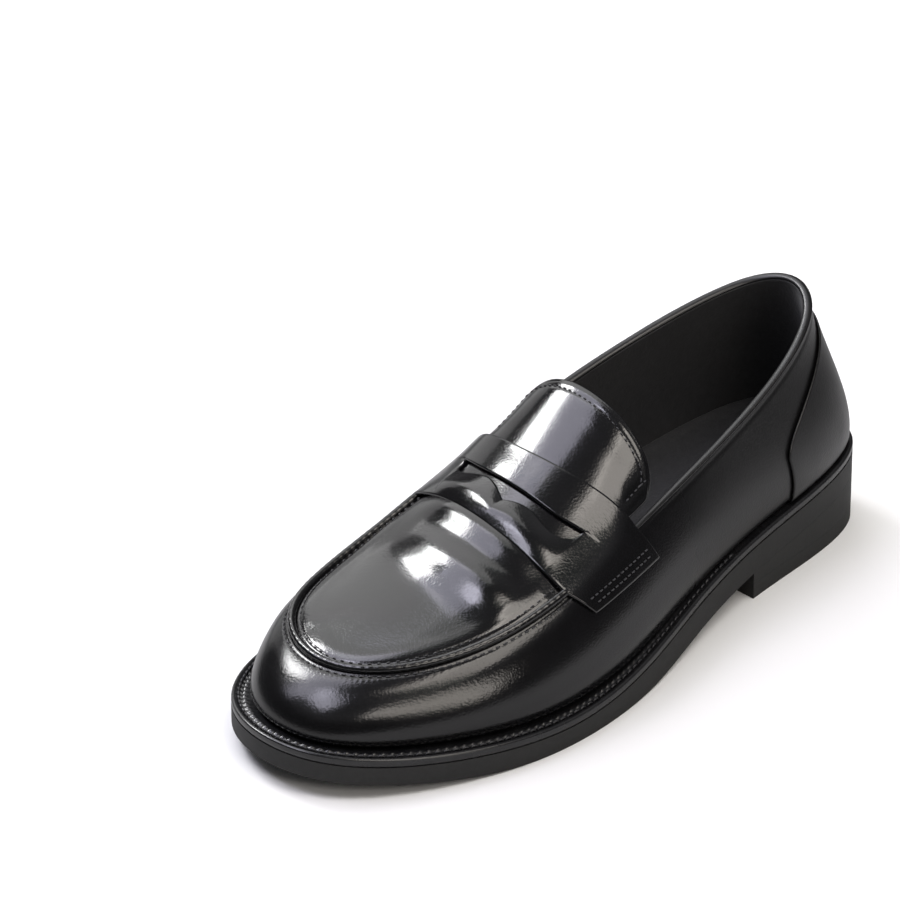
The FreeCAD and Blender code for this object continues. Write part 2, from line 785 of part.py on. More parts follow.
def make_welt_thread():
    """The stitches along the top of the welt, ahead of the heel."""
    points = []
    for p in plan_inset(sole_edge, WELT_STITCH_INSET, spread(*WELT_STITCH_U, 70)):
        points.append(V(p.x, p.y, seat_z(p.y) + THREAD + 0.05))
    return thread(points, THREAD)


PIECES = {
    "outsole": lambda: make_outsole().cut(nail_group(NAIL_RADIUS + FIT)),
    "welt": make_welt,
    "heel_rand": make_heel_rand,
    "heel_block": lambda: make_heel_block().cut(nail_group(NAIL_RADIUS + FIT)),
    "top_lift": make_top_lift,
    "insole": make_insole,
    "cork_filler": make_cork_filler,
    "shank": lambda: shank_shape(0.0),
    "heel_pad": lambda: pad_shape(0.0),
    "sock_lining": make_sock_lining,
    "heel_nails": lambda: nail_group(NAIL_RADIUS),
    "welt_thread": make_welt_thread,
    "vamp_quarter": make_vamp_quarter,
    "vamp_lining": make_vamp_lining,
    "quarter_lining": make_quarter_lining,
    "toe_puff": make_toe_puff,
    "counter_stiffener": make_counter_stiffener,
    "side_doubler_lateral": lambda: make_side_doubler(True),
    "side_doubler_medial": lambda: make_side_doubler(False),
    "counter_cover": make_counter_cover,
    "apron": make_apron,
    "apron_lining": make_apron_lining,
    "apron_piping": make_apron_piping,
    "tongue": make_tongue,
    "tongue_lining": make_tongue_lining,
    "saddle_strap": make_saddle_strap,
    "topline_binding": make_topline_binding,
    "apron_thread_inner": make_apron_thread_inner,
    "apron_thread_outer": make_apron_thread_outer,
    "strap_thread": make_strap_thread,
    "tongue_thread": make_tongue_thread,
}


def main():
    os.makedirs("parts", exist_ok=True)
    for name, make in PIECES.items():
        shape = make()
        shape.translate(V(-PLAN_MIDDLE[0], -PLAN_MIDDLE[1], 0))
        box = shape.BoundBox
        print("%-22s solids %d valid %s volume %9.1f  x %.1f..%.1f y %.1f..%.1f z %.1f..%.1f" % (
            name, len(shape.Solids), shape.isValid(), shape.Volume,
            box.XMin, box.XMax, box.YMin, box.YMax, box.ZMin, box.ZMax))
        shape.exportStep("parts/%s.step" % name)


main()
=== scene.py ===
import bpy
import math
import numpy as np
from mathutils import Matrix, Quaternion, Vector


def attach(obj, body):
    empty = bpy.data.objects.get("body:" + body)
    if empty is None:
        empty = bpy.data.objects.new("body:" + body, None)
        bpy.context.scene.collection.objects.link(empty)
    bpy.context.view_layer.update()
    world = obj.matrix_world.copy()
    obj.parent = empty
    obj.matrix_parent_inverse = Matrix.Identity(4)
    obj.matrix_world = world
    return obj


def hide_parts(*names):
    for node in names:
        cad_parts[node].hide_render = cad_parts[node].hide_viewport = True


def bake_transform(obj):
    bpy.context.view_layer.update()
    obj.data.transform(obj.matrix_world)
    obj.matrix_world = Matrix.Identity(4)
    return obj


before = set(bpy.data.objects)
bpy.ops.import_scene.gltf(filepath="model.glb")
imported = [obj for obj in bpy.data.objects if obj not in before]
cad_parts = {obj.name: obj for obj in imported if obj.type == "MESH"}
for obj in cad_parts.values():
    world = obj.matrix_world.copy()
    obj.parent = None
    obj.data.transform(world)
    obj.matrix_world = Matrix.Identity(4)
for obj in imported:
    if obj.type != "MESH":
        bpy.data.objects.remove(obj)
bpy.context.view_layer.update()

# Lengths below are in millimetres. +Y points to the heel, +X to the outer (lateral) side of the foot.
MM = 0.001
PLAN_MIDDLE = np.array([4.9, 3.5, 0.0])    # where the frame's origin lies in these coordinates

# ---- the surface of the last, the same as in the CAD model ----

# (y, z) of the welt's top
SEAT_LINE = [(-150, 19.3), (-115, 14.5), (-80, 11.6), (-45, 10.6), (-5, 14.0), (30, 19.3),
             (70, 24.3), (108, 28.2), (152, 32.5)]
# Round the shoe from the heel along the outer side to the toe and back: the sole's outline, the welt's
# width, the rim, and the arms (level, upright) that round the wall at its foot and below its rim.
STATIONS = [
    ((0, 151.3), 3.0, (-2, 138.6, 92.5), (3, 16), (3, 20)),
    ((26.2, 144.8), 3.4, (15.6, 127, 88), (2.2, 16), (1.6, 19)),
    ((35.3, 112), 3.0, (25, 101.4, 78.5), (4.5, 16), (4.6, 18)),
    ((38, 73), 3.0, (31, 68, 69), (5.5, 15), (4, 16)),
    ((46.5, 31), 4.0, (36, 27, 60), (6, 14), (6, 13)),
    ((60, -13), 5.0, (43.5, -16, 53.5), (5, 13), (9, 8)),
    ((64, -59.5), 6.0, (46.5, -60, 44), (4.5, 12), (9, 7)),
    ((52, -102), 7.0, (33.5, -94, 38), (4, 10), (10, 4)),
    ((31, -137), 7.5, (17.5, -112, 37), (3.5, 10), (12, 3)),
    ((3, -145), 7.5, (1, -116, 36.3), (3, 10), (11, 2.5)),
    ((-27, -135), 7.5, (-18, -110, 36.7), (2, 10), (8, 3)),
    ((-47.5, -103), 7.0, (-34, -93, 38.3), (2.5, 10), (7, 4)),
    ((-54, -61), 6.0, (-37, -60, 42.5), (4, 12), (8, 6)),
    ((-49, -15), 5.0, (-37, -15, 54), (5, 14), (8, 8)),
    ((-39.5, 29), 4.0, (-38.5, 25, 63.5), (5.5, 15), (5, 13)),
    ((-36.5, 71), 3.0, (-36.5, 65, 72.5), (5.5, 16), (3, 16)),
    ((-35.2, 110), 2.8, (-28.8, 101.2, 82.5), (4.8, 16), (4.4, 18)),
    ((-26.8, 143.8), 3.2, (-20.8, 131.5, 88.5), (3, 16), (3, 19)),
]
# The instep along its middle line, by y: its height, sideways tilt, roundness and how its sides drop.
MIDDLE_X = 2.0
CROWN = [(-120, 35.0), (-112, 37.3), (-90, 43.4), (-60, 51.8), (-36, 61.7), (-6, 73.6), (8, 81.0),
         (22, 88.3), (30, 92.0)]
TILT = [(-120, 0.0), (-90, 0.0), (-55, 0.03), (-35, 0.03), (-10, -0.01), (0, -0.04), (10, -0.075),
        (30, -0.1)]
ROUND = [(-120, 0.0040), (-85, 0.0040), (-60, 0.0049), (-38, 0.0072), (-10, 0.0092), (10, 0.0085),
         (30, 0.0080)]
SIDES = [(-45, 0.0), (-30, 0.4e-6), (-10, 0.9e-6), (0, 2.4e-6), (10, 5.5e-6), (30, 6.5e-6)]
# The strap's edges: y at the outer rim, y at the inner rim, and how far the middle bows from the chord.
STRAP_FRONT = (-38.5, -27.0, -4.4)
STRAP_REAR = (1.7, 4.0, -9.8)


def mix(a, b, t):
    return a + (b - a) * t


def smooth(t):
    t = np.clip(t, 0, 1)
    return t * t * (3 - 2 * t)


def unit(a):
    return a / np.maximum(np.linalg.norm(a, axis=-1, keepdims=True), 1e-12)


def crowded(count, share=1.0):
    """Numbers from 0 to 1 that lie closer together towards both ends."""
    t = np.linspace(0, 1, count)
    return (1 - share) * t + share * (1 - np.cos(math.pi * t)) / 2


def natural_spline(points):
    """A function through (position, value) points, smooth between them and straight beyond its ends."""
    x, y = np.array(points, float).T
    n = len(x)
    h = np.diff(x)
    m = np.eye(n)
    r = np.zeros(n)
    for i in range(1, n - 1):
        m[i, i - 1:i + 2] = h[i - 1], 2 * (h[i - 1] + h[i]), h[i]
        r[i] = 6 * ((y[i + 1] - y[i]) / h[i] - (y[i] - y[i - 1]) / h[i - 1])
    k = np.linalg.solve(m, r)
    first = (y[1] - y[0]) / h[0] - h[0] * k[1] / 6
    last = (y[-1] - y[-2]) / h[-1] + h[-1] * k[-2] / 6

    def at(s):
        s = np.asarray(s, float)
        c = np.clip(s, x[0], x[-1])
        i = np.clip(np.searchsorted(x, c) - 1, 0, n - 2)
        q = (c - x[i]) / h[i]
        p = 1 - q
        inside = p * y[i] + q * y[i + 1] + h[i] ** 2 / 6 * ((p ** 3 - p) * k[i] + (q ** 3 - q) * k[i + 1])
        return inside + np.minimum(s - x[0], 0) * first + np.maximum(s - x[-1], 0) * last

    return at


seat_z = natural_spline(SEAT_LINE)
crown_z = natural_spline(CROWN)
tilt = natural_spline(TILT)
roundness = natural_spline(ROUND)
side_drop = natural_spline(SIDES)


def loop_point(control, u):
    """Points at u of the closed uniform cubic B-spline of these control points."""
    control = np.asarray(control, float)
    n = len(control)
    s = np.mod(np.asarray(u, float), 1.0) * n
    i = np.floor(s).astype(int)
    t = (s - i)[..., None]
    w = ((1 - t) ** 3 / 6, (3 * t ** 3 - 6 * t ** 2 + 4) / 6, (-3 * t ** 3 + 3 * t ** 2 + 3 * t + 1) / 6,
         t ** 3 / 6)
    return sum(w[k] * control[(i + k - 1) % n] for k in range(4))


def set_in(control, u, inset):
    """Points of a closed line, moved level towards the inside of the shoe."""
    e = 0.001
    along = loop_point(control, u + e) - loop_point(control, u - e)
    along[..., 2] = 0
    along = unit(along)
    out = np.stack([-along[..., 1], along[..., 0], 0 * along[..., 0]], -1)
    return loop_point(control, u) - out * np.asarray(inset)[..., None]


SOLE = np.array([[s[0][0], s[0][1], 0.0] for s in STATIONS])


def wall_rings():
    """Control points of the wall, in four rings from the feather edge to the rim."""
    rings = np.zeros((4, len(STATIONS), 3))
    for i, (welt, rim_point, bulge, shoulder) in enumerate(station[1:] for station in STATIONS):
        along = SOLE[(i + 1) % len(STATIONS)] - SOLE[i - 1]
        out = np.array([-along[1], along[0], 0.0]) / np.linalg.norm(along)
        feather = SOLE[i] - out * welt
        feather[2] = seat_z(feather[1])
        top = np.array(rim_point, float)
        rings[0, i] = feather
        rings[1, i] = feather + out * bulge[0] + (0, 0, bulge[1])
        rings[2, i] = top + out * shoulder[0] - (0, 0, shoulder[1])
        rings[3, i] = top
    return rings


RINGS = wall_rings()
FEATHER, RIM = RINGS[0], RINGS[3]


def wall(u, v):
    """The wall's outer surface; u runs round the shoe and v from the feather edge (0) to the rim (1)."""
    u, v = np.broadcast_arrays(np.asarray(u, float), np.asarray(v, float))
    v = v[..., None]
    w = ((1 - v) ** 3, 3 * v * (1 - v) ** 2, 3 * v * v * (1 - v), v ** 3)
    return sum(w[k] * loop_point(RINGS[k], u) for k in range(4))


def wall_rise(u, v):
    """The step up along the wall near (u, v), not yet of unit length."""
    e = 0.002
    return wall(u, np.asarray(v) + e) - wall(u, np.asarray(v) - e)


def wall_normal(u, v):
    e = 0.002
    along = wall(np.asarray(u) + e, v) - wall(np.asarray(u) - e, v)
    return unit(np.cross(wall_rise(u, v), along))


def rim(u):
    return loop_point(RIM, u)


def rim_distance(u, v):
    """How far below the rim the wall point (u, v) lies, along the wall."""
    u, v = np.broadcast_arrays(np.asarray(u, float), np.asarray(v, float))
    total = np.zeros(u.shape)
    previous = wall(u, v)
    for t in np.linspace(0, 1, 9)[1:]:
        p = wall(u, mix(v, 1, t))
        total += np.linalg.norm(p - previous, axis=-1)
        previous = p
    return total


def below_rim(u, gap):
    """The v at which the wall is this far below the rim."""
    reach = np.linalg.norm(rim(u) - loop_point(RINGS[2], u), axis=-1)
    return 1 - gap / (3 * reach)


def instep_z(x, y):
    s = x - MIDDLE_X
    return crown_z(y) + tilt(y) * s - roundness(y) * s * s - np.maximum(0, side_drop(y)) * s ** 4


def instep(x, y):
    x, y = np.broadcast_arrays(np.asarray(x, float), np.asarray(y, float))
    return np.stack([x, y, instep_z(x, y)], -1)


def instep_normal(x, y):
    e = 0.4
    a = instep(x + e, y) - instep(x - e, y)
    b = instep(x, y + e) - instep(x, y - e)
    return unit(np.cross(a, b))


def rim_u(y, lateral):
    """The u at which the rim passes y on one side, found by halving."""
    low, high = (0.1, 0.45) if lateral else (0.9, 0.55)
    for step in range(40):
        u = (low + high) / 2
        low, high = (u, high) if rim(u)[1] > y else (low, u)
    return (low + high) / 2


U_FRONT_LAT = rim_u(STRAP_FRONT[0], True)
U_FRONT_MED = rim_u(STRAP_FRONT[1], False)


# ---- lines ----

def lengths(points, power=1.0):
    """How far along a line each of its points lies."""
    steps = np.linalg.norm(np.diff(points, axis=0), axis=1)
    return np.concatenate([[0], np.cumsum(steps ** power)])


def at_lengths(wanted, known, values):
    """Values of a line at the wanted lengths, where known says how far along each given value lies."""
    return np.stack([np.interp(wanted, known, values[:, k]) for k in range(values.shape[1])], -1)


def even_points(line, count):
    """Points at even distances along a line."""
    known = lengths(line)
    return at_lengths(np.linspace(0, known[-1], count), known, line)


def rim_us(start, end, spacing):
    """Values of u from start to end at which the rim's points lie evenly."""
    us = np.linspace(start, end, 2000)
    known = lengths(rim(us))
    return np.interp(np.linspace(0, known[-1], int(known[-1] / spacing) + 1), known, us)


def through(points, count=160):
    """A smooth line through plan points."""
    p = np.array(points, float)
    known = lengths(p, 0.5)
    wanted = np.linspace(0, known[-1], count)
    return np.stack([natural_spline(list(zip(known, p[:, k])))(wanted) for k in range(2)], -1)


# ---- mesh building ----

def grid_faces(rows, columns, closed=False, flip=False):
    i, j = np.meshgrid(np.arange(rows if closed else rows - 1), np.arange(columns - 1), indexing="ij")
    a = i * columns + j
    b = ((i + 1) % rows) * columns + j
    quads = np.stack([a, a + 1, b + 1, b], -1).reshape(-1, 4)
    return quads[:, ::-1] if flip else quads


def ring_faces(rows, count):
    """Faces of a form made of rings of points, with a cap at each end."""
    faces = []
    for i in range(rows - 1):
        for j in range(count):
            a, b = i * count + j, i * count + (j + 1) % count
            faces.append([a, b, b + count, a + count])
    faces.append(list(reversed(range(count))))
    faces.append([(rows - 1) * count + j for j in range(count)])
    return faces


def oval_rings(centres, sides, ups, half_width, half_height, count):
    """Points and faces of a cord whose rings have these centres and half sizes."""
    angles = np.linspace(0, 2 * math.pi, count, endpoint=False)[None, :, None]
    width = np.broadcast_to(half_width, len(centres))[:, None, None]
    height = np.broadcast_to(half_height, len(centres))[:, None, None]
    ring = sides[:, None] * np.cos(angles) * width + ups[:, None] * np.sin(angles) * height
    return (centres[:, None] + ring).reshape(-1, 3), ring_faces(len(centres), count)


def facing_out(verts, faces):
    """The faces, turned over if the closed shape they make is inside out."""
    volume = 0.0
    for f in faces:
        p = verts[list(f)]
        for k in range(1, len(f) - 1):
            volume += np.dot(p[0], np.cross(p[k], p[k + 1]))
    return faces if volume > 0 else [list(reversed(f)) for f in faces]


def make_object(name, verts, faces, body="shoe"):
    """A smooth-shaded mesh from points in millimetres, riding on a body."""
    mesh = bpy.data.meshes.new(name)
    points = (np.asarray(verts) - PLAN_MIDDLE) * MM
    mesh.from_pydata(points.tolist(), [], [list(map(int, f)) for f in faces])
    mesh.update()
    mesh.polygons.foreach_set("use_smooth", [True] * len(mesh.polygons))
    piece = bpy.data.objects.new(name, mesh)
    bpy.context.scene.collection.objects.link(piece)
    if body:
        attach(piece, body)
    return piece


def merge_close(verts, faces, tolerance=0.02):
    """Joins vertices that lie on top of each other and drops faces that collapse."""
    key = np.round(verts / tolerance).astype(np.int64)
    index, inverse = np.unique(key, axis=0, return_index=True, return_inverse=True)[1:]
    inverse = inverse.reshape(-1)
    out = []
    for f in faces:
        g = []
        for v in inverse[list(f)]:
            if not g or g[-1] != v:
                g.append(int(v))
        if len(g) > 1 and g[0] == g[-1]:
            g.pop()
        if len(g) > 2 and len(set(g)) == len(g):
            out.append(g)
    return verts[index], out, index


def vertex_normals(verts, faces):
    normals = np.zeros_like(verts)
    for f in faces:
        p = verts[list(f)]
        n = np.cross(p[2] - p[0], p[-1] - p[1])
        for v in f:
            normals[v] += n
    return unit(normals)


def thicken(verts, faces, thickness, normals, edge=0.5):
    """Turns an open sheet into a solid one with rounded edges. The given surface is its outer face."""
    count = len(verts)
    directed = dict.fromkeys((int(a), int(b)) for f in faces for a, b in zip(f, f[1:] + f[:1]))
    border = [e for e in directed if (e[1], e[0]) not in directed]
    out_dir = {}
    for a, b in border:
        side = np.cross(unit(verts[b] - verts[a]), unit(normals[a] + normals[b]))
        for v in (a, b):
            out_dir[v] = out_dir.get(v, 0) + side
    ids = {v: i for i, v in enumerate(out_dir)}
    rim_rows = []
    for turn in (0.25, 0.5, 0.75):
        angle = math.pi * turn
        for v, out in out_dir.items():
            o = unit(out)
            n = normals[v]
            o = unit(o - n * np.dot(o, n))
            down = n * thickness * (1 - math.cos(angle)) / 2
            rim_rows.append(verts[v] - down + o * thickness * edge * math.sin(angle))
    all_verts = np.vstack([verts, verts - normals * thickness, rim_rows])
    all_faces = [list(f) for f in faces]
    all_faces += [[int(v) + count for v in reversed(list(f))] for f in faces]

    def down_edge(v):
        return [v] + [2 * count + row * len(ids) + ids[v] for row in range(3)] + [v + count]

    for a, b in border:
        chain_a, chain_b = down_edge(a), down_edge(b)
        for s in range(4):
            all_faces.append([chain_b[s], chain_a[s], chain_a[s + 1], chain_b[s + 1]])
    return all_verts, all_faces


def sheet_piece(name, grid, normals, thickness, closed=False, flip=False, edge=0.5, tolerance=0.02,
                body="shoe"):
    """A leather sheet whose outer face is a grid of points."""
    faces = grid_faces(*grid.shape[:2], closed, flip)
    verts, faces, index = merge_close(grid.reshape(-1, 3), faces, tolerance)
    return make_object(name, *thicken(verts, faces, thickness, normals.reshape(-1, 3)[index], edge), body)


# ---- materials ----

class Nodes:
    """A small helper that wires one node material."""

    def __init__(self, name):
        self.material = bpy.data.materials.new(name)
        self.material.use_nodes = True
        self.tree = self.material.node_tree
        self.tree.nodes.clear()
        self.output = self.add("ShaderNodeOutputMaterial")
        self.shader = self.add("ShaderNodeBsdfPrincipled")
        self.link(self.shader.outputs[0], self.output.inputs[0])
        self.place = self.add("ShaderNodeTexCoord").outputs["Object"]

    def add(self, kind, **values):
        node = self.tree.nodes.new(kind)
        for key, value in values.items():
            setattr(node, key, value)
        return node

    def link(self, a, b):
        self.tree.links.new(a, b)

    def stretched(self, scale):
        """The object's coordinates with another scale on each axis."""
        node = self.add("ShaderNodeMapping")
        node.inputs["Scale"].default_value = scale
        self.link(self.place, node.inputs["Vector"])
        return node.outputs[0]

    def texture(self, node, output, vector, **inputs):
        for key, value in inputs.items():
            node.inputs[key].default_value = value
        self.link(vector or self.place, node.inputs["Vector"])
        return node.outputs[output]

    def noise(self, scale, detail=3.0, rough=0.55, vector=None):
        node = self.add("ShaderNodeTexNoise")
        return self.texture(node, "Fac", vector, Scale=scale, Detail=detail, Roughness=rough)

    def cells(self, scale):
        return self.texture(self.add("ShaderNodeTexVoronoi"), "Distance", None, Scale=scale)

    def wave(self, scale, vector=None, direction="X", distortion=0.0):
        node = self.add("ShaderNodeTexWave", bands_direction=direction)
        return self.texture(node, "Fac", vector, Scale=scale, Distortion=distortion)

    def ramp(self, value, low, high, start=0.0, end=1.0):
        """Maps a value from start..end to low..high, which are numbers or colours."""
        node = self.add("ShaderNodeValToRGB")
        for element, level, position in zip(node.color_ramp.elements, (low, high), (start, end)):
            element.position = position
            element.color = (*(level if isinstance(level, tuple) else (level,) * 3), 1)
        self.link(value, node.inputs[0])
        return node.outputs[0]

    def feed(self, socket, value):
        """Gives a socket a plain value or another node's output."""
        if isinstance(value, (int, float, tuple)):
            socket.default_value = value
        else:
            self.link(value, socket)

    def math(self, operation, a, b):
        node = self.add("ShaderNodeMath", operation=operation)
        self.feed(node.inputs[0], a)
        self.feed(node.inputs[1], b)
        return node.outputs[0]

    def along(self, axis):
        node = self.add("ShaderNodeSeparateXYZ")
        self.link(self.place, node.inputs[0])
        return node.outputs[axis]

    def bump(self, height, distance, strength, after=None):
        node = self.add("ShaderNodeBump")
        node.inputs["Strength"].default_value = strength
        node.inputs["Distance"].default_value = distance
        self.link(height, node.inputs["Height"])
        if after is not None:
            self.link(after, node.inputs["Normal"])
        return node.outputs[0]

    def finish(self, colour, rough, normal, **more):
        """Wires the shader's inputs and gives the material back."""
        for key, value in dict(more, Base_Color=colour, Roughness=rough, Normal=normal).items():
            self.feed(self.shader.inputs[key.replace("_", " ")], value)
        return self.material


def polished_leather(name, rough, rough_back=None, grain=0.00003, coat=0.6, coat_rough=0.09):
    """Glazed black leather: a soft low wave, fine creases with painted shade in them, and pores under a
    clear finish.
    """
    n = Nodes(name)
    soft = n.noise(26, 2.0)
    crease_streaks = n.noise(90, 4.0, 0.6)
    pores = n.math("MULTIPLY", n.cells(1300), n.noise(1100, 2.0))
    # The colour is painted darker where the crease bump sinks: painted shade in the creases.
    colour = n.ramp(crease_streaks, tuple(c * 0.75 for c in BLACK), BLACK, 0.3, 0.75)
    cloud = n.math("ADD", n.math("MULTIPLY", soft, 0.5), n.math("MULTIPLY", crease_streaks, 0.5))
    level = n.ramp(cloud, rough * 0.75, rough * 1.3, 0.3, 0.7)
    if rough_back is not None:
        blend = n.add("ShaderNodeMix", data_type="FLOAT")
        n.link(n.ramp(n.along("Y"), 0.0, 1.0, 0.0, 0.045), blend.inputs[0])
        n.link(level, blend.inputs[2])
        blend.inputs[3].default_value = rough_back
        level = blend.outputs[0]
    creases = n.bump(crease_streaks, 0.00009, 0.3, n.bump(soft, 0.0006, 0.25))
    return n.finish(colour, level, n.bump(pores, grain * 4, 0.5, creases), Coat_Weight=coat,
                    Coat_Roughness=coat_rough, Coat_IOR=1.5, Specular_IOR_Level=0.5, Coat_Normal=creases)


def lining_leather():
    n = Nodes("lining_leather_black")
    fuzz = n.noise(400, 5.0, 0.7)
    colour = n.ramp(fuzz, (0.006, 0.006, 0.007), (0.016, 0.016, 0.018), 0.3, 0.8)
    relief = n.bump(n.math("ADD", n.cells(900), fuzz), 0.00008, 0.6)
    return n.finish(colour, n.ramp(n.noise(30), 0.5, 0.72, 0.3, 0.7), relief, Sheen_Weight=0.15,
                    Sheen_Roughness=0.5)


def welt_leather():
    n = Nodes("welt_leather_black")
    fibre = n.noise(160, 4.0, 0.65, n.stretched((1, 1, 3)))
    colour = n.ramp(fibre, (0.005, 0.005, 0.006), (0.013, 0.013, 0.014), 0.3, 0.75)
    return n.finish(colour, n.ramp(n.noise(60), 0.2, 0.36, 0.3, 0.7), n.bump(fibre, 0.00012, 0.5),
                    Coat_Weight=0.4, Coat_Roughness=0.15)


def sole_rubber(name):
    n = Nodes(name)
    dust = n.noise(700, 4.0, 0.6)
    cloud = n.noise(35)
    mixed = n.math("ADD", n.math("MULTIPLY", dust, 0.4), n.math("MULTIPLY", cloud, 0.6))
    colour = n.ramp(mixed, RUBBER_GREY * 0.7, RUBBER_GREY * 1.25, 0.35, 0.7)
    return n.finish(colour, n.ramp(cloud, 0.48, 0.62, 0.3, 0.7), n.bump(dust, 0.0001, 0.45),
                    Specular_IOR_Level=0.45)


def waxed_thread():
    n = Nodes("waxed_thread_black")
    twist = n.wave(900, n.stretched((1, 1, 0.6)), "DIAGONAL", 1.0)
    colour = n.ramp(twist, (0.012, 0.012, 0.014), (0.045, 0.045, 0.05))
    return n.finish(colour, n.ramp(n.noise(900), 0.3, 0.5), n.bump(twist, 0.0001, 0.6), Coat_Weight=0.3,
                    Coat_Roughness=0.25)


def cork():
    n = Nodes("cork_granules")
    cells = n.cells(420)
    tone = n.noise(250)
    colour = n.ramp(n.math("MULTIPLY", cells, tone), (0.42, 0.25, 0.12), (0.16, 0.08, 0.035), 0.05, 0.6)
    return n.finish(colour, n.ramp(tone, 0.75, 0.95), n.bump(cells, 0.0004, 0.6))


def fibre_board():
    n = Nodes("fibre_board_tan")
    fibre = n.noise(300, 6.0, 0.7, n.stretched((1.0, 0.3, 1.0)))
    colour = n.ramp(fibre, (0.32, 0.2, 0.11), (0.5, 0.35, 0.21), 0.3, 0.7)
    return n.finish(colour, n.ramp(n.noise(80), 0.7, 0.9), n.bump(fibre, 0.0001, 0.5))


def stiffener_felt():
    n = Nodes("stiffener_felt_grey")
    felt = n.noise(600, 6.0, 0.75)
    colour = n.ramp(felt, (0.3, 0.29, 0.27), (0.52, 0.5, 0.46), 0.3, 0.7)
    return n.finish(colour, n.ramp(n.noise(90), 0.8, 0.95), n.bump(felt, 0.00015, 0.6))


def doubler_cotton():
    n = Nodes("doubler_cotton")
    weave = n.math("MAXIMUM", n.wave(700, direction="Y"), n.wave(700, direction="Z"))
    colour = n.ramp(weave, (0.4, 0.38, 0.34), (0.72, 0.7, 0.65), 0.2, 0.9)
    return n.finish(colour, n.ramp(n.noise(100), 0.8, 0.95), n.bump(weave, 0.0002, 0.6), Sheen_Weight=0.3)


def latex_foam():
    n = Nodes("latex_foam")
    holes = n.cells(1500)
    colour = n.ramp(holes, (0.35, 0.31, 0.2), (0.72, 0.66, 0.5), 0.1, 0.6)
    return n.finish(colour, n.ramp(n.noise(150), 0.8, 0.95), n.bump(holes, 0.0003, 0.7))


def spring_steel():
    n = Nodes("spring_steel")
    brushed = n.noise(1200, 3.0, 0.6, n.stretched((1.0, 0.02, 1.0)))
    colour = n.ramp(brushed, (0.42, 0.43, 0.45), (0.6, 0.61, 0.63), 0.3, 0.7)
    rough = n.ramp(brushed, 0.25, 0.42, 0.3, 0.7)
    return n.finish(colour, rough, n.bump(brushed, 0.00003, 0.5), Metallic=1.0)


BLACK = (0.0036, 0.0035, 0.004)
RUBBER_GREY = 0.016
UPPER = polished_leather("polished_leather_black", 0.13)
QUARTER = polished_leather("polished_leather_quarters", 0.15, 0.36, coat=0.25, coat_rough=0.2)
SATIN = polished_leather("satin_leather_black", 0.34, coat=0.25, coat_rough=0.22)
SEAM = polished_leather("seam_leather_black", 0.2, grain=0.00005)
LINING = lining_leather()
WELT = welt_leather()
RUBBER = sole_rubber("sole_rubber_black")
STACK = sole_rubber("heel_stack_black")
THREAD = waxed_thread()
CORK = cork()
BOARD = fibre_board()
STIFFENER = stiffener_felt()
FABRIC = doubler_cotton()
FOAM = latex_foam()
STEEL = spring_steel()


def dress(piece, material, slot, *nodes):
    """Gives a new piece its material and hides the CAD nodes it stands for; the slot is not used."""
    piece.data.materials.append(material)
    if nodes:
        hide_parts(*nodes)
    return piece


# ---- the leather's relief ----

OUTER_STITCH = 3.3      # the outer row of stitches, below the rim
INNER_STITCH = 2.7      # the inner row, in from the rim on the apron
TONGUE_STITCH = 3.0     # the tongue's row, in from its edge
PUCKER_PITCH = 3.3
SEAM_FADE = 0.012       # the u over which the apron seam's relief ends at the strap
# Soft ridges and grooves beside an edge: their height, their distance from it and their width.
WALL_EDGE = [(-0.4, 1.3, 0.9), (0.3, 8.5, 4.6), (-0.22, OUTER_STITCH, 0.6)]
TOPLINE_EDGE = [(-0.18, 3.0, 0.9)]
APRON_EDGE = [(-0.4, 0.9, 0.9), (-0.22, INNER_STITCH, 0.6), (0.15, 6.0, 2.6)]
TONGUE_EDGE = [(-0.14, TONGUE_STITCH, 0.7), (0.15, 7.0, 3.6), (-0.35, 0.0, 0.8)]
# The walking folds: height, distance ahead of the strap, width, and the x and length of both fades.
FOLDS = [(2.6, 18.5, 7.8, -30, 50, 44, 18), (1.1, 3.0, 4.6, -34, 24, 40, 20)]
RIM_LINE = rim(np.linspace(U_FRONT_LAT - 0.03, U_FRONT_MED + 0.03, 500))
STRAP_ENDS = (rim(U_FRONT_LAT), rim(U_FRONT_MED))


def bump(d, centre, width):
    """A soft bump of height 1 at the centre."""
    return np.exp(-((d - centre) / width) ** 2)


def bumps(d, rows):
    return sum(height * bump(d, centre, width) for height, centre, width in rows)


def slow_wave(p, size, amount):
    """A soft unevenness that hand lasting leaves in leather."""
    x, y, z = np.moveaxis(np.asarray(p) / size, -1, 0)
    cross = np.sin(x + 1.3 * np.sin(y * 0.7)) * np.cos(y * 1.1 + 0.6)
    return amount * (cross + 0.6 * np.sin(y * 1.9 + z * 1.3 + 0.8)) / 1.6


def wall_relief(u, v, d):
    """How far the wall leather stands out from the CAD surface: seam, puckers at the toe, tucked foot."""
    u = np.mod(u, 1.0)
    p = wall(u, v)
    front = smooth((u - U_FRONT_LAT) / SEAM_FADE + 0.5) * smooth((U_FRONT_MED - u) / SEAM_FADE + 0.5)
    pucker = np.sin(2 * math.pi * (u * 700 / PUCKER_PITCH + 0.3 * np.sin(u * 61)))
    pucker = 0.035 * pucker * bump(u, 0.43, 0.09) * bump(d, OUTER_STITCH + 1.3, 1.3)
    out = front * (bumps(d, WALL_EDGE) + pucker) + (1 - front) * bumps(d, TOPLINE_EDGE)
    height = np.maximum(p[..., 2] - seat_z(p[..., 1]), 0)
    return out - 1.3 * bump(height, 0, 1.3) + slow_wave(p, 19.0, 0.06) * smooth(d / 12)


def wall_leather(u, v):
    """Points and normals on the finished wall leather."""
    n = wall_normal(u, v)
    return wall(u, v) + n * wall_relief(u, v, rim_distance(u, v))[..., None], n


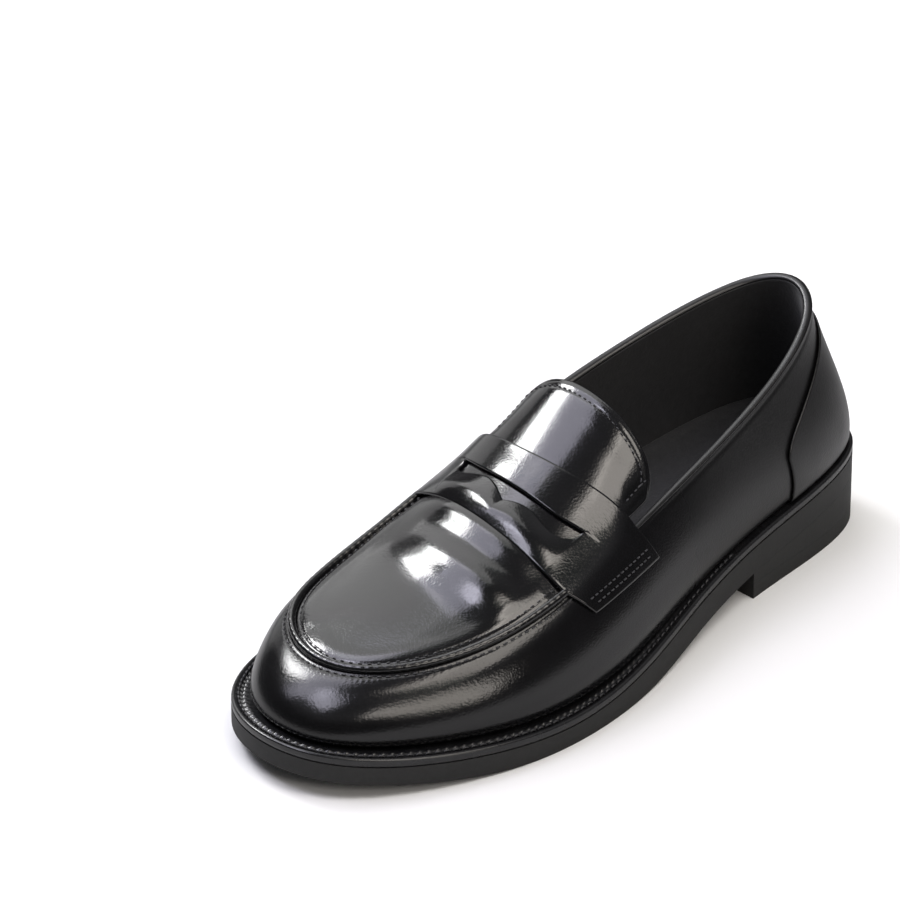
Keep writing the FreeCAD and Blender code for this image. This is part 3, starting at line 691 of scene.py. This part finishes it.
def seam_distance(x, y):
    """The distance in plan from the apron's seam."""
    p = np.stack([x, y], -1).reshape(-1, 2)
    nearest = [np.linalg.norm(RIM_LINE[:, :2] - q, axis=1).min() for q in p]
    return np.array(nearest).reshape(x.shape)


def ahead_of_strap(x, y):
    """How far a point lies in front of the strap's front edge."""
    a, b = STRAP_ENDS
    t = np.clip((x - a[0]) / (b[0] - a[0]), 0, 1)
    return mix(a[1], b[1], t) + STRAP_FRONT[2] * 4 * t * (1 - t) - y


def apron_relief(x, y):
    """The apron's stitched edge, one small dimple, and two walking folds ahead of the strap."""
    d = seam_distance(x, y)
    s = ahead_of_strap(x, y)
    folds = sum(height * bump(s, ahead, width) * smooth((x - start) / rise) * smooth((stop - x) / fall)
                for height, ahead, width, start, rise, stop, fall in FOLDS)
    dimple = -0.45 * bump(x, -14, 4.0) * bump(y, -107, 4.0)
    wave = slow_wave(np.stack([x, y, 0 * x], -1), 15.0, 0.1) * smooth(d / 9)
    edge = smooth((s + 1.0) / 3.0) * (bumps(d, APRON_EDGE) + wave)
    return edge + smooth((d - 1.5) / 6) * (folds + dimple) - 0.05


def apron_leather(x, y):
    """Points and normals on the finished apron."""
    n = instep_normal(x, y)
    return instep(x, y) + n * apron_relief(x, y)[..., None], n


# ---- the upper ----

WALL_THICKNESS = 1.35
STIFFENER_DEPTH = 1.55          # the stiffeners' outer faces, below the leather's face
FOOT_V = 0.012                  # where the sheets end, just above the feather edge
EDGE_V = 0.999                  # just under the rim
COUNTER_U = 0.1365              # half the counter cover's width
COUNTER_TOP = (0.42, 0.39)      # its top edge's v at the ends, and how much higher it is in the middle
APRON_REAR_BOW = -3.5


def wall_uv(us, v_low, v_high, rows, crowding=1.0):
    """A grid of (u, v) on the wall; crowding above 1 draws its rows closer together at the top."""
    top = v_high[:, None]
    v = top - (top - v_low) * (1 - np.linspace(0, 1, rows)) ** crowding
    return us[:, None] + 0 * v, v


def make_wall():
    """The one-piece wall of the vamp and the quarters."""
    us = np.linspace(0, 1, 880, endpoint=False)
    grid, n = wall_leather(*wall_uv(us, -0.015, below_rim(us, 0.9), 60, 1.35))
    piece = sheet_piece("upper_wall", grid, n, WALL_THICKNESS, closed=True)
    dress(piece, QUARTER, "upper_leather", "vamp_quarter")


def wall_sheet(node, us, v_low, v_high, depth, material, slot, rows=26):
    """A lining or a stiffener at a depth inside the wall."""
    u, v = wall_uv(us, v_low, v_high, rows)
    n = wall_normal(u, v)
    grid = wall(u, v) - n * depth
    grid += n * slow_wave(grid, 17.0, 0.05)[..., None]
    dress(sheet_piece(node + "_sheet", grid, n, 0.75), material, slot, node)


def make_quarter_lining():
    """The lining of the quarters, with faint creases behind the heel."""
    us = np.linspace(-0.2, 0.2, 200)
    u, v = wall_uv(us, FOOT_V, below_rim(us, 1.3), 44, 1.2)
    n = wall_normal(u, v)
    grid = wall(u, v) - n * 2.5
    z = grid[..., 2]
    creases = 0.25 * np.sin(z / 3.1 + u * 40) * bump(u, 0, 0.09) * bump(z, 58, 16)
    grid = grid + n * (-np.abs(creases) - 0.05 + slow_wave(grid, 16.0, 0.1))[..., None]
    dress(sheet_piece("quarter_lining_sheet", grid, n, 0.8), LINING, "lining_leather", "quarter_lining")


def make_stiffeners():
    us = np.linspace(0.405, 0.595, 70)
    wall_sheet("toe_puff", us, 0.02, below_rim(us, 7.0), STIFFENER_DEPTH, STIFFENER, "stiffener_board", 18)
    us = np.linspace(-0.128, 0.128, 90)
    top = 0.80 - 18 * us ** 2
    wall_sheet("counter_stiffener", us, 0.02, top, STIFFENER_DEPTH, STIFFENER, "stiffener_board")
    for node, start, end in (("side_doubler_lateral", 0.134, 0.399), ("side_doubler_medial", 0.601, 0.866)):
        us = np.linspace(start, end, 110)
        wall_sheet(node, us, 0.03, below_rim(us, 4.0), STIFFENER_DEPTH, FABRIC, "doubler_fabric")


def make_vamp_lining():
    us = np.linspace(0.2003, 0.7997, 220)
    wall_sheet("vamp_lining", us, FOOT_V, below_rim(us, 2.6), 2.6, LINING, "lining_leather")


def make_counter_cover():
    """The arched patch over the heel's back, fullest in its middle."""
    angles = np.linspace(-math.pi / 2, math.pi / 2, 180)[:, None]
    top = COUNTER_TOP[0] + COUNTER_TOP[1] * np.cos(angles)
    v = mix(FOOT_V, top, 1 - (1 - np.linspace(0, 1, 50)) ** 1.3)
    p, n = wall_leather(COUNTER_U * np.sin(angles) + 0 * v, v)
    full = 0.8 * np.sin(math.pi * np.clip(v, 0, 0.8) / 0.8) * np.cos(angles)
    piece = sheet_piece("counter_cover_leather", p + n * (1.15 + full)[..., None], n, 0.95)
    dress(piece, SATIN, "upper_leather", "counter_cover")


def edge_frame(us):
    """Points just under the rim, and the directions out of the wall and up along it."""
    return wall(us, EDGE_V), wall_normal(us, EDGE_V), unit(wall_rise(us, EDGE_V))


def cord(name, centres, sides, ups, half_width, half_height):
    """An oval cord with rounded ends."""
    k = 8
    taper = np.ones(len(centres))
    taper[:k] = np.sqrt(1 - (1 - (np.arange(k) + 0.5) / k) ** 2)
    taper[-k:] = taper[k - 1::-1]
    verts, faces = oval_rings(centres, sides, ups, half_width * taper, half_height * taper, 14)
    return make_object(name, verts, facing_out(verts, faces))


def make_seam_roll():
    """The rolled seam that stands along the apron, drawn in a little at each stitch."""
    us = rim_us(U_FRONT_LAT - 0.008, U_FRONT_MED + 0.008, 0.8)
    p, n, up = edge_frame(us)
    s = np.arange(len(us)) * 0.8
    half = 1.5 + 0.06 * np.cos(2 * math.pi * s / OUTER_ROW[0]) + 0.05 * np.sin(s / 5.3)
    piece = cord("apron_seam_roll", p + n * 0.25 - up * 0.15, up, n, half, half)
    dress(piece, SEAM, "upper_leather", "apron_piping")


def make_topline():
    """The turned edge round the opening: a soft roll over the leather and the lining."""
    us = rim_us(rim_u(STRAP_REAR[1] - 3.0, False) - 1.0, rim_u(STRAP_REAR[0] - 3.0, True), 1.0)
    p, n, up = edge_frame(us)
    wave = 0.05 * np.sin(np.arange(len(us)) / 7.0)
    piece = cord("topline_roll", p - n * WALL_THICKNESS - up * 0.65, n, up, 1.75 + wave, 1.0 + wave)
    dress(piece, SATIN, "upper_leather", "topline_binding")


def apron_grid(inset, rear_lateral, rear_medial, rows, columns):
    """Chords across the apron from the toe tip to its rear edge, as plan points."""
    along = np.linspace(0, 1, rows)
    lateral = rim_us(rim_u(rear_lateral, True), 0.5, 0.5)[::-1]
    medial = rim_us(0.5, rim_u(rear_medial, False), 0.5)
    a, b = (set_in(RIM, np.interp(along, np.linspace(0, 1, len(us)), us), inset)[:, None, :2]
            for us in (lateral, medial))
    t = crowded(columns, 0.5)
    plan = mix(a, b, t[None, :, None])
    bow = smooth((along - 0.55) / 0.45)[:, None] * APRON_REAR_BOW * 4 * t * (1 - t)
    return plan[..., 0], plan[..., 1] + bow


def make_apron():
    grid, n = apron_leather(*apron_grid(0.5, -12.0, -9.0, 210, 84))
    piece = sheet_piece("apron_leather", grid, n, 1.3, tolerance=0.05)
    dress(piece, UPPER, "upper_leather", "apron")


def make_apron_lining():
    x, y = apron_grid(4.2, -13.0, -10.0, 90, 40)
    n = instep_normal(x, y)
    p = instep(x, y)
    grid = p + n * (-2.9 + slow_wave(p, 15.0, 0.1))[..., None]
    piece = sheet_piece("apron_lining_sheet", grid, n, 0.7, tolerance=0.05)
    dress(piece, LINING, "lining_leather", "apron_lining")


# ---- the strap ----

WING_COLUMNS = 16
MIDDLE_COLUMNS = 150
STRAP_COLUMNS = 220
STRAP_END_V = (0.69, 0.675)         # the wall's v where it ends, at its front and rear edge
STRAP_LEAN = (0.0095, 0.0047)       # how far its ends lean back in u, at its front and rear edge
STRAP_TOP = 1.75
STRAP_THICKNESS = 1.4
FRONT_CROWN = 1.15
REAR_CROWN = 0.12
STRAP_PILLOW = natural_spline([(0, -0.75), (0.2, 0.1), (0.4, 0.6), (0.68, 0.2), (1, -0.85)])
# The slot in plan: its two ends, the point between its front edge's two lobes, and its edges.
SLOT_MEDIAL = (-27, -12)
SLOT_LATERAL = (34, -16.5)
SLOT_CUSP = (4.5, -27.4)
SLOT_REAR = [SLOT_MEDIAL, (-17, -16.2), (-6, -18.9), (6, -20.3), (17, -20.6), (26, -19.6), SLOT_LATERAL]
MEDIAL_LOBE = [SLOT_MEDIAL, (-26.5, -17.2), (-21, -19.6), (-12.5, -20.3), (-5, -22.1), (1, -25.3),
               SLOT_CUSP]
LATERAL_LOBE = [SLOT_CUSP, (9.5, -25.8), (16, -25.2), (23, -26.4), (29.5, -26.0), (33.4, -22.4),
                SLOT_LATERAL]


def strap_surface(b):
    """One line along the strap's surface from its outer to its inner end; b runs from front to rear."""
    lateral_y, medial_y, bow = (mix(front, rear, b) for front, rear in zip(STRAP_FRONT, STRAP_REAR))
    end_v = mix(*STRAP_END_V, b)
    lean = mix(*STRAP_LEAN, b)
    u = rim_u(lateral_y, True)
    medial = rim_u(medial_y, False)
    t = np.linspace(0, 1, WING_COLUMNS, endpoint=False)
    wing = wall(u - lean * (1 - t), mix(end_v, 1, t))
    t = np.linspace(0, 1, MIDDLE_COLUMNS)
    start, end = rim(u), rim(medial)
    p = mix(start, end, t[:, None])
    top = instep(p[:, 0], p[:, 1] + bow * 4 * t * (1 - t))
    near = np.maximum(0, 1 - np.minimum(t, 1 - t) * 8)
    miss = np.where(t < 0.5, start[2] - instep_z(*start[:2]), end[2] - instep_z(*end[:2]))
    top[:, 2] += miss * near ** 2
    t = np.linspace(0, 1, WING_COLUMNS + 1)[1:]
    far = wall(medial + lean * t, mix(1, end_v, t))
    return np.vstack([wing, top, far])


def softened(line, times=10):
    """Eases the bends along a line, keeping its ends."""
    for step in range(times):
        line[1:-1] = line[1:-1] * 0.5 + (line[2:] + line[:-2]) * 0.25
    return line


STRAP_B = np.linspace(0, 1, 41)
STRAP_LINES = np.stack([softened(even_points(strap_surface(b), STRAP_COLUMNS)) for b in STRAP_B], 1)


def slot_limits():
    """Where the slot starts and ends across the strap, column by column; beyond its ends they are equal."""
    fine = np.linspace(0, 1, 400)
    rear = through(SLOT_REAR)
    front = np.vstack([through(MEDIAL_LOBE), through(LATERAL_LOBE)[1:]])
    low, high = np.full((2, STRAP_COLUMNS), np.nan)
    for c in range(STRAP_COLUMNS):
        x, y = at_lengths(fine, STRAP_B, STRAP_LINES[c][:, :2]).T
        if not SLOT_MEDIAL[0] - 0.5 < np.interp(0.5, fine, x) < SLOT_LATERAL[0] + 0.5:
            continue
        inside = (x > SLOT_MEDIAL[0]) & (x < SLOT_LATERAL[0])
        start = np.argmax((y > np.interp(x, front[:, 0], front[:, 1])) & inside)
        stop = np.argmax((y > np.interp(x, rear[:, 0], rear[:, 1])) & inside)
        if inside[start] and stop > start:
            low[c], high[c] = fine[start], fine[stop]
    beyond = np.isnan(low)
    ends = np.flatnonzero(~beyond)[[0, -1]]
    split = np.interp(np.arange(STRAP_COLUMNS), ends, high[ends])
    return np.where(beyond, split, low), np.where(beyond, split, high)


def make_strap():
    """The saddle strap: a front and a rear part on either side of the slot, joined beyond its ends."""
    low, high = slot_limits()
    columns = np.arange(STRAP_COLUMNS)
    centre = smooth((columns - 30) / 45) * smooth((190 - columns) / 45)
    points, faces, lifts = [], [], []
    parts = ((0 * low, low, 22, FRONT_CROWN), (high, 0 * high + 1, 26, REAR_CROWN))
    for lower, upper, rows, crown in parts:
        t = crowded(rows, 0.4)
        faces.append(grid_faces(STRAP_COLUMNS, rows) + sum(map(len, points)))
        points.append(np.vstack([at_lengths(mix(lower[c], upper[c], t), STRAP_B, STRAP_LINES[c])
                                 for c in columns]))
        lifts.append((crown * centre[:, None] * STRAP_PILLOW(t)).ravel())
    verts, faces, index = merge_close(np.vstack(points), np.vstack(faces), 0.01)
    lift = STRAP_TOP + np.concatenate(lifts)[index]
    verts = verts + vertex_normals(verts, faces) * lift[:, None]
    verts, faces = thicken(verts, faces, STRAP_THICKNESS, vertex_normals(verts, faces), 0.45)
    dress(make_object("saddle_strap_leather", verts, faces), UPPER, "upper_leather", "saddle_strap")


# ---- the tongue ----

TONGUE_SIDES = (-31.0, 36.5)
TONGUE_TOP = (22.9, 18.2)       # y of its free edge at its two sides
TONGUE_TOP_RISE = 0.9
TONGUE_CORNER = 7.0
TONGUE_FRONT = (-2.0, -9.0)     # y of its hidden front edge at its sides, and its bow


def tongue_back(x, inset=0.0):
    """The y of the tongue's free edge at x."""
    left, right, r = TONGUE_SIDES[0] + inset, TONGUE_SIDES[1] - inset, TONGUE_CORNER - inset
    t = (x - left) / (right - left)
    line = mix(TONGUE_TOP[0], TONGUE_TOP[1], t) - inset + TONGUE_TOP_RISE * 4 * t * (1 - t)
    over = np.clip(np.maximum(left + r - x, x - (right - r)), 0, r)
    return line - r + np.sqrt(np.maximum(r * r - over * over, 0))


def tongue_front(x, inset):
    t = (x - TONGUE_SIDES[0]) / (TONGUE_SIDES[1] - TONGUE_SIDES[0])
    return TONGUE_FRONT[0] + inset + TONGUE_FRONT[1] * 4 * t * (1 - t)


def tongue_columns(inset, count):
    """Values of x across the tongue, closer together towards its sides."""
    left, right = TONGUE_SIDES
    across = np.sin(np.linspace(-math.pi / 2, math.pi / 2, count))
    return (left + right) / 2 + ((right - left) / 2 - inset) * across


def tongue_relief(x, y):
    side = np.minimum(x - TONGUE_SIDES[0], TONGUE_SIDES[1] - x)
    edge = np.minimum(tongue_back(x) - y, side)
    out = bumps(edge, TONGUE_EDGE) + slow_wave(instep(x, y), 17.0, 0.06) * smooth(edge / 8)
    return out * smooth((y - 1.0) / 5.0)


def tongue_surface(x, y, lift):
    """Points and normals; the tongue widens on its outer side towards the strap."""
    x = x + 1.2 * smooth((x - 18) / 18) * smooth((13 - y) / 13)
    n = instep_normal(x, y)
    return instep(x, y) + n * lift[..., None], n


def bend_with_tongue(piece):
    """Bakes the piece's placement into its points."""
    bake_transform(piece)


def tongue_sheet(name, inset, offset, thickness, columns, rows, material, slot, node):
    x = tongue_columns(inset, columns)[:, None]
    t = np.linspace(0, 1, rows)
    y = mix(tongue_front(x, inset), tongue_back(x, inset), 0.5 * t + 0.5 * np.sin(t * math.pi / 2))
    x = x + 0 * y
    lift = offset + (tongue_relief(x, y) if offset == 0 else 0 * y)
    piece = sheet_piece(name, *tongue_surface(x, y, lift), thickness, flip=True, edge=0.55, body=None)
    bend_with_tongue(dress(piece, material, slot, node))


def make_tongue():
    tongue_sheet("tongue_leather", 0.0, 0.0, 1.35, 90, 70, UPPER, "upper_leather", "tongue")
    tongue_sheet("tongue_lining_sheet", 0.7, -1.55, 0.8, 60, 40, LINING, "lining_leather", "tongue_lining")


# ---- stitches ----

# A row's pitch, its stitches' length, the thread's radius, how far it stands up and how deep it dips.
OUTER_ROW = (3.1, 1.9, 0.34, 0.22, 0.45)
INNER_ROW = (3.3, 1.5, 0.3, 0.2, 0.4)
STRAP_ROW = (2.5, 1.6, 0.3, 0.22, 0.4)
TONGUE_ROW = (2.6, 1.6, 0.28, 0.2, 0.4)
WELT_ROW = (3.4, 2.5, 0.42, 0.35, 0.3)
WELT_STITCH = 2.6       # the welt's row, in from the sole's edge
STRAP_STITCH_COLUMNS = (5, 10, -11, -6)


def stitches(name, path, normals, row, *nodes, body="shoe"):
    """Real stitches: short cords that rise out of the leather and dip back into it."""
    pitch, length, radius, lift, sink = row
    known = lengths(path)
    s = np.linspace(0, known[-1], max(2, int(round(known[-1] / 0.2)) + 1))
    p = at_lengths(s, known, path)
    n = unit(at_lengths(s, known, normals))
    count = max(1, int(s[-1] / pitch))
    start = (s[-1] - count * pitch) / 2
    shape = np.linspace(0, 1, 7)
    arch = np.sin(math.pi * shape) ** 0.5
    verts, faces = [], []
    for k in range(count):
        at = start + k * pitch + (pitch - length) / 2 + shape * length
        up = unit(at_lengths(at, s, n))
        centres = at_lengths(at, s, p) + up * (-sink + (lift + sink) * arch)[:, None]
        ahead = np.vstack([centres[1] - centres[0], centres[2:] - centres[:-2], centres[-1] - centres[-2]])
        ahead = unit(ahead)
        side = unit(np.cross(ahead, up))
        thick = radius * (0.75 + 0.25 * arch)
        points, quads = oval_rings(centres, side, unit(np.cross(side, ahead)), thick, thick, 6)
        faces += [[sum(map(len, verts)) + q for q in f] for f in quads]
        verts.append(points)
    return dress(make_object(name, np.vstack(verts), faces, body), THREAD, "thread", *nodes)


def make_apron_stitches():
    us = rim_us(U_FRONT_LAT - 0.004, U_FRONT_MED + 0.004, 0.7)
    p, n = wall_leather(us, below_rim(us, OUTER_STITCH))
    stitches("apron_stitches_outer", p, n, OUTER_ROW, "apron_thread_outer")
    x, y = set_in(RIM, us, INNER_STITCH)[:, :2].T
    stitches("apron_stitches_inner", *apron_leather(x, y), INNER_ROW, "apron_thread_inner")


def make_strap_stitches():
    """Two rows across each end of the strap."""
    for i, column in enumerate(STRAP_STITCH_COLUMNS):
        line = STRAP_LINES[column]
        n = unit(np.cross(np.gradient(line, axis=0), STRAP_LINES[column + 1] - STRAP_LINES[column - 1]))
        n *= np.sign(n[len(n) // 2, 2])
        nodes = ("strap_thread",) if i == 0 else ()
        stitches("strap_stitches_%d" % i, (line + n * STRAP_TOP)[2:-2], n[2:-2], STRAP_ROW, *nodes)


def make_tongue_stitches():
    """One row up the tongue's side, round its free edge and down its other side."""
    x = tongue_columns(TONGUE_STITCH, 400)
    y = tongue_back(x, TONGUE_STITCH)
    side_y = np.linspace(3.0, y[0], 20)[:-1]
    x = np.concatenate([np.full(19, x[0]), x, np.full(19, x[-1])])
    y = np.concatenate([side_y, y, side_y[::-1]])
    p, n = tongue_surface(x, y, tongue_relief(x, y))
    bend_with_tongue(stitches("tongue_stitches", p, n, TONGUE_ROW, "tongue_thread", body=None))


def make_welt_stitches():
    p = welt_point(np.linspace(0.185, 0.815, 900), WELT_STITCH, 0.0)
    stitches("welt_stitches", p, np.tile([0.0, 0.0, 1.0], (len(p), 1)), WELT_ROW, "welt_thread")


# ---- the bottom ----

WELT_EDGE = 0.9         # the radius of the welt's outer edge
WELT_HIDDEN = 4.0       # how far it goes in under the wall
WELT_BOTTOM = -3.15
STITCH_GROOVES = [(-0.35, WELT_STITCH, 1.0), (-0.28, 3.7, 0.5)]
WHEEL_MARK = 4.7        # the wheel marks' row, in from the sole's edge
HEEL_PAD = (-1, 108, 19.0, 25.0)        # its middle's x and y, and its half width and half length
SOCK_LIFT = 3.9


def welt_point(u, inset, lift):
    """A point above the seat line, at a distance inside the sole's edge."""
    p = set_in(SOLE, u, inset)
    p[..., 2] = seat_z(p[..., 1]) + lift
    return p


def make_welt():
    """The welt: a strip with a rounded polished edge and a row of wheel marks beside the stitches."""
    us = np.linspace(0, 1, 1500, endpoint=False)
    edge = loop_point(SOLE, us)
    along = lengths(np.vstack([edge, edge[:1]]))
    turn = 2 * math.pi * along[:-1] / along[-1] * round(along[-1] / WELT_ROW[0])
    width = np.linalg.norm((edge - loop_point(FEATHER, us))[:, :2], axis=1)
    total = width + WELT_HIDDEN
    marks = smooth((width - 3.2) / 2.2) * smooth((us - 0.17) / 0.03) * smooth((0.83 - us) / 0.03)
    rows = []
    for f in np.linspace(1.0, 0.0, 26):
        inset = mix(WELT_EDGE, total, f)
        wheel = 0.5 * (0.5 + 0.5 * np.cos(turn + inset * 0.9)) * bump(inset, WHEEL_MARK, 1.0)
        lift = marks * (wheel + bumps(inset, STITCH_GROOVES)) + 0.25 * bump(inset, 1.1, 0.7)
        rows.append(welt_point(us, inset, lift - 0.05))
    for a in np.linspace(0.15, 1, 6) * math.pi / 2:
        rows.append(welt_point(us, WELT_EDGE * (1 - math.sin(a)), 0.1 - WELT_EDGE * (1 - math.cos(a))))
    for inset, lift in ((0.03, -1.9), (0.12, -2.8), (0.5, WELT_BOTTOM), (total, WELT_BOTTOM)):
        rows.append(welt_point(us, inset, lift))
    verts = np.stack(rows, 1).reshape(-1, 3)
    columns = len(rows)
    faces = grid_faces(len(us), columns, closed=True).tolist()
    for i in range(len(us)):
        a, b = i * columns, ((i + 1) % len(us)) * columns
        faces.append([a, b, b + columns - 1, a + columns - 1])
    piece = make_object("welt_strip", verts, facing_out(verts, faces))
    dress(piece, WELT, "welt_leather", "welt", "heel_rand")


def sole_chords(inset, rows, columns):
    """Points on chords across the inside of the shoe, from the toe to the heel."""
    u = np.linspace(0.4995, 0.0005, rows)
    a, b = set_in(FEATHER, u, inset), set_in(FEATHER, 1 - u, inset)
    return mix(a[:, None], b[:, None], crowded(columns)[None, :, None])


def make_sock():
    """The sock lining: a soft sheet that turns up a little at its edge and sinks under the heel."""
    p = sole_chords(4.3, 170, 46)
    edge = sole_chords(4.3, 400, 2).reshape(-1, 3)[:, :2]
    d = np.array([np.linalg.norm(edge - q, axis=1).min() for q in p.reshape(-1, 3)[:, :2]])
    x, y, z = np.moveaxis(p, -1, 0)
    z[:] = seat_z(y) + SOCK_LIFT + 0.9 * bump(d.reshape(x.shape), 0, 3.5)
    z -= 0.25 * bump(x, HEEL_PAD[0], 18) * bump(y, HEEL_PAD[1], 24)
    z += slow_wave(p, 16.0, 0.1)
    verts, faces = merge_close(p.reshape(-1, 3), grid_faces(*x.shape), 0.05)[:2]
    n = vertex_normals(verts, faces)
    if n[:, 2].mean() < 0:
        faces, n = [list(reversed(f)) for f in faces], -n
    piece = make_object("sock_lining_sheet", *thicken(verts, faces, 0.8, n))
    dress(piece, LINING, "lining_leather", "sock_lining")


def make_heel_pad():
    """A crowned oval pad under the sock lining."""
    count = 64
    angle = np.linspace(0, 2 * math.pi, count, endpoint=False)
    crown = [(f, 1.75 + 1.15 * math.sqrt(1 - f ** 6)) for f in np.arange(1, 15) / 14]
    underside = [(0.99, 1.5), (0.9, 1.5), (0.5, 1.5)]
    rings = []
    for f, lift in crown + underside:
        x = HEEL_PAD[0] + HEEL_PAD[2] * f * np.cos(angle)
        y = HEEL_PAD[1] + HEEL_PAD[3] * f * np.sin(angle)
        rings.append(np.stack([x, y, seat_z(y) + lift], -1))
    verts = np.vstack(rings)
    piece = make_object("heel_pad_foam", verts, facing_out(verts, ring_faces(len(rings), count)))
    dress(piece, FOAM, "foam", "heel_pad")


def dress_carried_nodes():
    """Materials for the CAD nodes that stay as they are."""
    materials = {"outsole": RUBBER, "heel_block": STACK, "top_lift": RUBBER, "insole": BOARD,
                 "cork_filler": CORK, "shank": STEEL, "heel_nails": STEEL}
    for name, material in materials.items():
        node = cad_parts[name]
        for material_slot in node.material_slots:
            material_slot.material = material
        if not node.material_slots:
            node.data.materials.append(material)


for make in (make_wall, make_vamp_lining, make_quarter_lining, make_stiffeners, make_counter_cover,
             make_seam_roll, make_topline, make_apron, make_apron_lining, make_strap, make_tongue,
             make_welt, make_sock, make_heel_pad, make_apron_stitches, make_strap_stitches,
             make_tongue_stitches, make_welt_stitches, dress_carried_nodes):
    make()


# ---- floor, light and camera, in metres ----

CAMERA_TARGET = (-0.1222, 0.0682, 0.0)
CAMERA_DISTANCE = 2.2
CAMERA_AZIMUTH = 44.2
CAMERA_ELEVATION = 28.7
CAMERA_LENS = 232.2
FLOOR_HALF = 6.0
FLOOR_IN_LEATHER = (0.42, 0.13)     # how light the floor's painted shade makes it look in reflections, near the shoe and far off
FLOOR_FADE = (0.2, 0.5)             # the distances from the shoe's middle between which that changes
# How light the room is, by the sine of the elevation.
ROOM_LEVELS = [(0.0, 0.10), (0.22, 0.05), (0.5, 0.06), (0.75, 0.22), (0.95, 0.12)]
LIGHT_DISTANCE = 3.0
LIGHT_TARGET = (0.0, 0.0, 0.05)
LAVENDER = (0.86, 0.85, 1.0)
BEIGE = (1.0, 0.94, 0.87)
# Lit panels: azimuth, elevation, width, height and power, then the colour unless it is white, and the
# roll about the panel's own axis.
PANELS = {
    "key": (-91, 42, 0.86, 0.74, 34),
    "lavender": (-78, 60, 1.7, 1.25, 20, LAVENDER),
    "low_lavender": (-64, 43, 0.6, 0.7, 3.6, LAVENDER),
    "front_lavender": (-30, 62, 1.3, 0.8, 18, LAVENDER),
    "grey_wall": (-121, 42, 1.36, 2.35, 12.5),
    "grey_top": (-128, 67, 0.9, 0.5, 1.2),
    "grey_low": (-108, 11, 1.0, 1.25, 2.2),
    "side_beige": (76, 30, 2.8, 0.7, 24, BEIGE, -43),
    "high_beige": (106, 62, 1.3, 1.7, 25, BEIGE),
    "top_beige": (95, 77, 0.9, 0.5, 2.5, BEIGE),
    "floor_wash": (0, 89, 3.5, 3.5, 48),
}
UNSEEN = "floor_wash"       # the panel that lights the floor and isn't seen in the leather


def direction(azimuth, elevation):
    a, e = math.radians(azimuth), math.radians(elevation)
    return np.array([math.sin(a) * math.cos(e), -math.cos(a) * math.cos(e), math.sin(e)])


def add_to_scene(name, data):
    thing = bpy.data.objects.new(name, data)
    bpy.context.scene.collection.objects.link(thing)
    return thing


def make_floor():
    """A pale floor that looks darker in the leather's reflections, where a darker copy of it is painted
    shade.
    """
    mesh = bpy.data.meshes.new("floor")
    corners = [(x * FLOOR_HALF, y * FLOOR_HALF, 0) for x, y in ((-1, -1), (1, -1), (1, 1), (-1, 1))]
    mesh.from_pydata(corners, [], [(0, 1, 2, 3)])
    n = Nodes("studio_floor")
    n.feed(n.shader.inputs["Base Color"], n.ramp(n.noise(3), 0.9, 0.93))
    n.feed(n.shader.inputs["Roughness"], 0.6)
    away = n.add("ShaderNodeVectorMath", operation="LENGTH")
    n.link(n.add("ShaderNodeNewGeometry").outputs["Position"], away.inputs[0])
    # Painted shade: glossy rays see a darker copy of the floor, darkest far from the shoe.
    dim = n.add("ShaderNodeBsdfDiffuse")
    n.link(n.ramp(away.outputs["Value"], *FLOOR_IN_LEATHER, *FLOOR_FADE), dim.inputs[0])
    blend = n.add("ShaderNodeMixShader")
    n.link(n.add("ShaderNodeLightPath").outputs["Is Glossy Ray"], blend.inputs[0])
    n.link(n.shader.outputs[0], blend.inputs[1])
    n.link(dim.outputs[0], blend.inputs[2])
    n.link(blend.outputs[0], n.output.inputs[0])
    mesh.materials.append(n.material)
    add_to_scene("floor", mesh)


def make_world():
    """A dim studio round the shoe, lighter high up than low down."""
    world = bpy.data.worlds.new("studio")
    bpy.context.scene.world = world
    world.use_nodes = True
    tree = world.node_tree
    tree.nodes.clear()
    kinds = ("TexCoord", "SeparateXYZ", "ValToRGB", "Background", "OutputWorld")
    coord, split, ramp, background, output = (tree.nodes.new("ShaderNode" + kind) for kind in kinds)
    tree.links.new(coord.outputs["Generated"], split.inputs[0])
    tree.links.new(split.outputs["Z"], ramp.inputs[0])
    elements = ramp.color_ramp.elements
    while len(elements) < len(ROOM_LEVELS):
        elements.new(0.5)
    for element, (position, level) in zip(elements, ROOM_LEVELS):
        element.position = position
        element.color = (level, level, level * 1.03, 1)
    tree.links.new(ramp.outputs[0], background.inputs[0])
    tree.links.new(background.outputs[0], output.inputs[0])


def make_panel(name, azimuth, elevation, width, height, power, colour=(1.0, 1.0, 1.0), roll=0):
    """A lit panel that faces the shoe."""
    light = bpy.data.lights.new(name, "AREA")
    light.shape = "RECTANGLE"
    light.size = width
    light.size_y = height
    light.energy = power
    light.color = colour
    lamp = add_to_scene(name, light)
    towards = direction(azimuth, elevation)
    lamp.location = towards * LIGHT_DISTANCE + np.array(LIGHT_TARGET)
    lamp.rotation_mode = "QUATERNION"
    turn = Quaternion((0.0, 0.0, 1.0), math.radians(roll))
    lamp.rotation_quaternion = Vector(towards).to_track_quat("Z", "Y") @ turn
    lamp.visible_glossy = name != UNSEEN


def make_camera():
    data = bpy.data.cameras.new("camera")
    data.lens = CAMERA_LENS
    data.sensor_width = 36.0
    data.clip_end = 50
    camera = add_to_scene("camera", data)
    back = direction(CAMERA_AZIMUTH, CAMERA_ELEVATION)
    camera.location = np.array(CAMERA_TARGET) + back * CAMERA_DISTANCE
    camera.rotation_euler = Vector(back).to_track_quat("Z", "Y").to_euler()
    bpy.context.scene.camera = camera


make_floor()
make_world()
for name, panel in PANELS.items():
    make_panel(name, *panel)
make_camera()
bpy.context.scene.view_settings.view_transform = "Standard"
